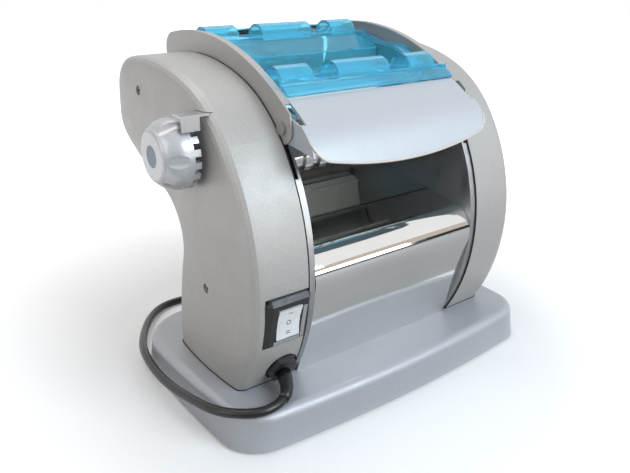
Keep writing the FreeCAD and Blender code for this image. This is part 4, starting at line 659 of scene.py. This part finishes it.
FLOOR_HALF = 4.0
FLOOR_BELOW = 0.0002
FLOOR_LIT, FLOOR_SEEN = (0.50, 0.475, 0.445), (0.84, 0.84, 0.84)
GLOW_FROM, GLOW_TO = 0.20, 0.62
GLOW_NEAR, GLOW_FAR = 0.16, 1.0
MATT = 0.9
SKY, SKY_STRENGTH = (0.90, 0.94, 1.0), 0.36
WHITE = (1, 1, 1, 1)


def backdrop_rays(tree):
    """1 for rays that see the white background: camera, glossy and transmission rays."""
    path = tree.nodes.new("ShaderNodeLightPath")
    found = path.outputs["Is Camera Ray"]
    for kind in ("Is Glossy Ray", "Is Transmission Ray"):
        either = tree.nodes.new("ShaderNodeMath")
        either.operation = "MAXIMUM"
        tree.links.new(found, either.inputs[0])
        tree.links.new(path.outputs[kind], either.inputs[1])
        found = either.outputs["Value"]
    return found


def new_material(name):
    """A plain matt material and its Principled shader."""
    material = bpy.data.materials.new(name)
    material.use_nodes = True
    shader = material.node_tree.nodes["Principled BSDF"]
    shader.inputs["Roughness"].default_value = MATT
    return material, shader


def staged(name, corners, material):
    """One flat face that isn't part of the object."""
    mesh = bpy.data.meshes.new(name)
    mesh.from_pydata(corners, [], [(0, 1, 2, 3)])
    mesh.materials.append(material)
    made = placed(name, mesh)
    return made


def floor():
    """A matt floor that shows as white paper, its shadow kept, brighter away from the machine."""
    material, shader = new_material("floor_look")
    tree = material.node_tree
    shader.inputs["Specular IOR Level"].default_value = 0.0
    seen = backdrop_rays(tree)
    tone = tree.nodes.new("ShaderNodeMix")
    tone.data_type = "RGBA"
    tone.inputs["A"].default_value = (*FLOOR_LIT, 1)
    tone.inputs["B"].default_value = (*FLOOR_SEEN, 1)
    tree.links.new(seen, tone.inputs["Factor"])
    tree.links.new(tone.outputs["Result"], shader.inputs["Base Color"])
    where = tree.nodes.new("ShaderNodeTexCoord")
    away = tree.nodes.new("ShaderNodeVectorMath")
    away.operation = "LENGTH"
    tree.links.new(where.outputs["Object"], away.inputs[0])
    level = tree.nodes.new("ShaderNodeMapRange")
    level.inputs["From Min"].default_value = GLOW_FROM
    level.inputs["From Max"].default_value = GLOW_TO
    level.inputs["To Min"].default_value = GLOW_NEAR
    level.inputs["To Max"].default_value = GLOW_FAR
    tree.links.new(away.outputs["Value"], level.inputs["Value"])
    glow = tree.nodes.new("ShaderNodeMath")
    glow.operation = "MULTIPLY"
    tree.links.new(level.outputs["Result"], glow.inputs[0])
    tree.links.new(seen, glow.inputs[1])
    shader.inputs["Emission Color"].default_value = WHITE
    tree.links.new(glow.outputs["Value"], shader.inputs["Emission Strength"])
    half = FLOOR_HALF
    made = staged("floor", [(-half, -half, 0), (half, -half, 0), (half, half, 0), (-half, half, 0)], material)
    made.location.z = -FLOOR_BELOW


def world():
    made = bpy.data.worlds.new("world")
    bpy.context.scene.world = made
    made.use_nodes = True
    tree = made.node_tree
    tree.nodes.clear()
    out = tree.nodes.new("ShaderNodeOutputWorld")
    soft, white = tree.nodes.new("ShaderNodeBackground"), tree.nodes.new("ShaderNodeBackground")
    soft.inputs["Color"].default_value = (*SKY, 1)
    soft.inputs["Strength"].default_value = SKY_STRENGTH
    white.inputs["Color"].default_value = WHITE
    white.inputs["Strength"].default_value = 1.0
    mix = tree.nodes.new("ShaderNodeMixShader")
    tree.links.new(backdrop_rays(tree), mix.inputs["Fac"])
    tree.links.new(soft.outputs["Background"], mix.inputs[1])
    tree.links.new(white.outputs["Background"], mix.inputs[2])
    tree.links.new(mix.outputs["Shader"], out.inputs["Surface"])


floor()
world()


# Boards that only reflections see: a dark and a beige one far in front, a grey one on the floor

BOARD_Y = -1.9
BOARD_HALF = 2.5
DARK_TOP, BEIGE_TOP = 0.36, 0.95
GREY_HALF = 1.6
GREY_FAR, GREY_NEAR = -1.88, -0.118
GREY_HEIGHT = 0.001


def board(name, corners, colour, strength):
    material, shader = new_material(name + "_look")
    shader.inputs["Base Color"].default_value = (*colour, 1)
    shader.inputs["Emission Color"].default_value = (*colour, 1)
    shader.inputs["Emission Strength"].default_value = strength
    made = staged(name, corners, material)
    for kind in ("camera", "diffuse", "transmission", "volume_scatter", "shadow"):
        setattr(made, "visible_" + kind, False)


def upright(low, high):
    """Corners of a standing board from one height to another."""
    return [(-BOARD_HALF, BOARD_Y, low), (BOARD_HALF, BOARD_Y, low),
            (BOARD_HALF, BOARD_Y, high), (-BOARD_HALF, BOARD_Y, high)]


GREY_CORNERS = [(-GREY_HALF, GREY_FAR, GREY_HEIGHT), (GREY_HALF, GREY_FAR, GREY_HEIGHT),
                (GREY_HALF, GREY_NEAR, GREY_HEIGHT), (-GREY_HALF, GREY_NEAR, GREY_HEIGHT)]

board("dark_board", upright(0, DARK_TOP), (0.012, 0.018, 0.017), strength=0.0)
board("beige_board", upright(DARK_TOP, BEIGE_TOP), (0.46, 0.40, 0.35), strength=1.0)
board("front_board", GREY_CORNERS, (0.27, 0.27, 0.27), strength=0.6)


# Soft lamps, their power in watts

MACHINE_MIDDLE = (0, 0, 0.12)
OUTLET = (0, 0, 0.19)


def lamp(name, place, size, power, colour, aim=MACHINE_MIDDLE):
    data = bpy.data.lights.new(name, "AREA")
    data.shape = "RECTANGLE"
    data.size, data.size_y = size
    data.energy = power
    data.color = colour
    made = placed(name, data)
    made.location = place
    made.rotation_euler = (Vector(aim) - Vector(place)).to_track_quat("-Z", "Y").to_euler()


lamp("key", (0.45, -1.5, 1.05), size=(1.0, 0.8), power=21, colour=(0.76, 0.89, 1.0))
lamp("fill", (-1.7, -0.1, 0.9), size=(1.2, 1.0), power=5, colour=(1.0, 0.95, 0.90))
lamp("top", (-0.1, 0.45, 1.7), size=(1.2, 0.9), power=9, colour=(1.0, 0.95, 0.88))
lamp("low_front", (0.25, -0.9, 0.20), size=(0.8, 0.14), power=1.6, colour=(1.0, 0.96, 0.90), aim=OUTLET)

bpy.context.scene.view_settings.view_transform = "Standard"

bpy.context.view_layer.update()
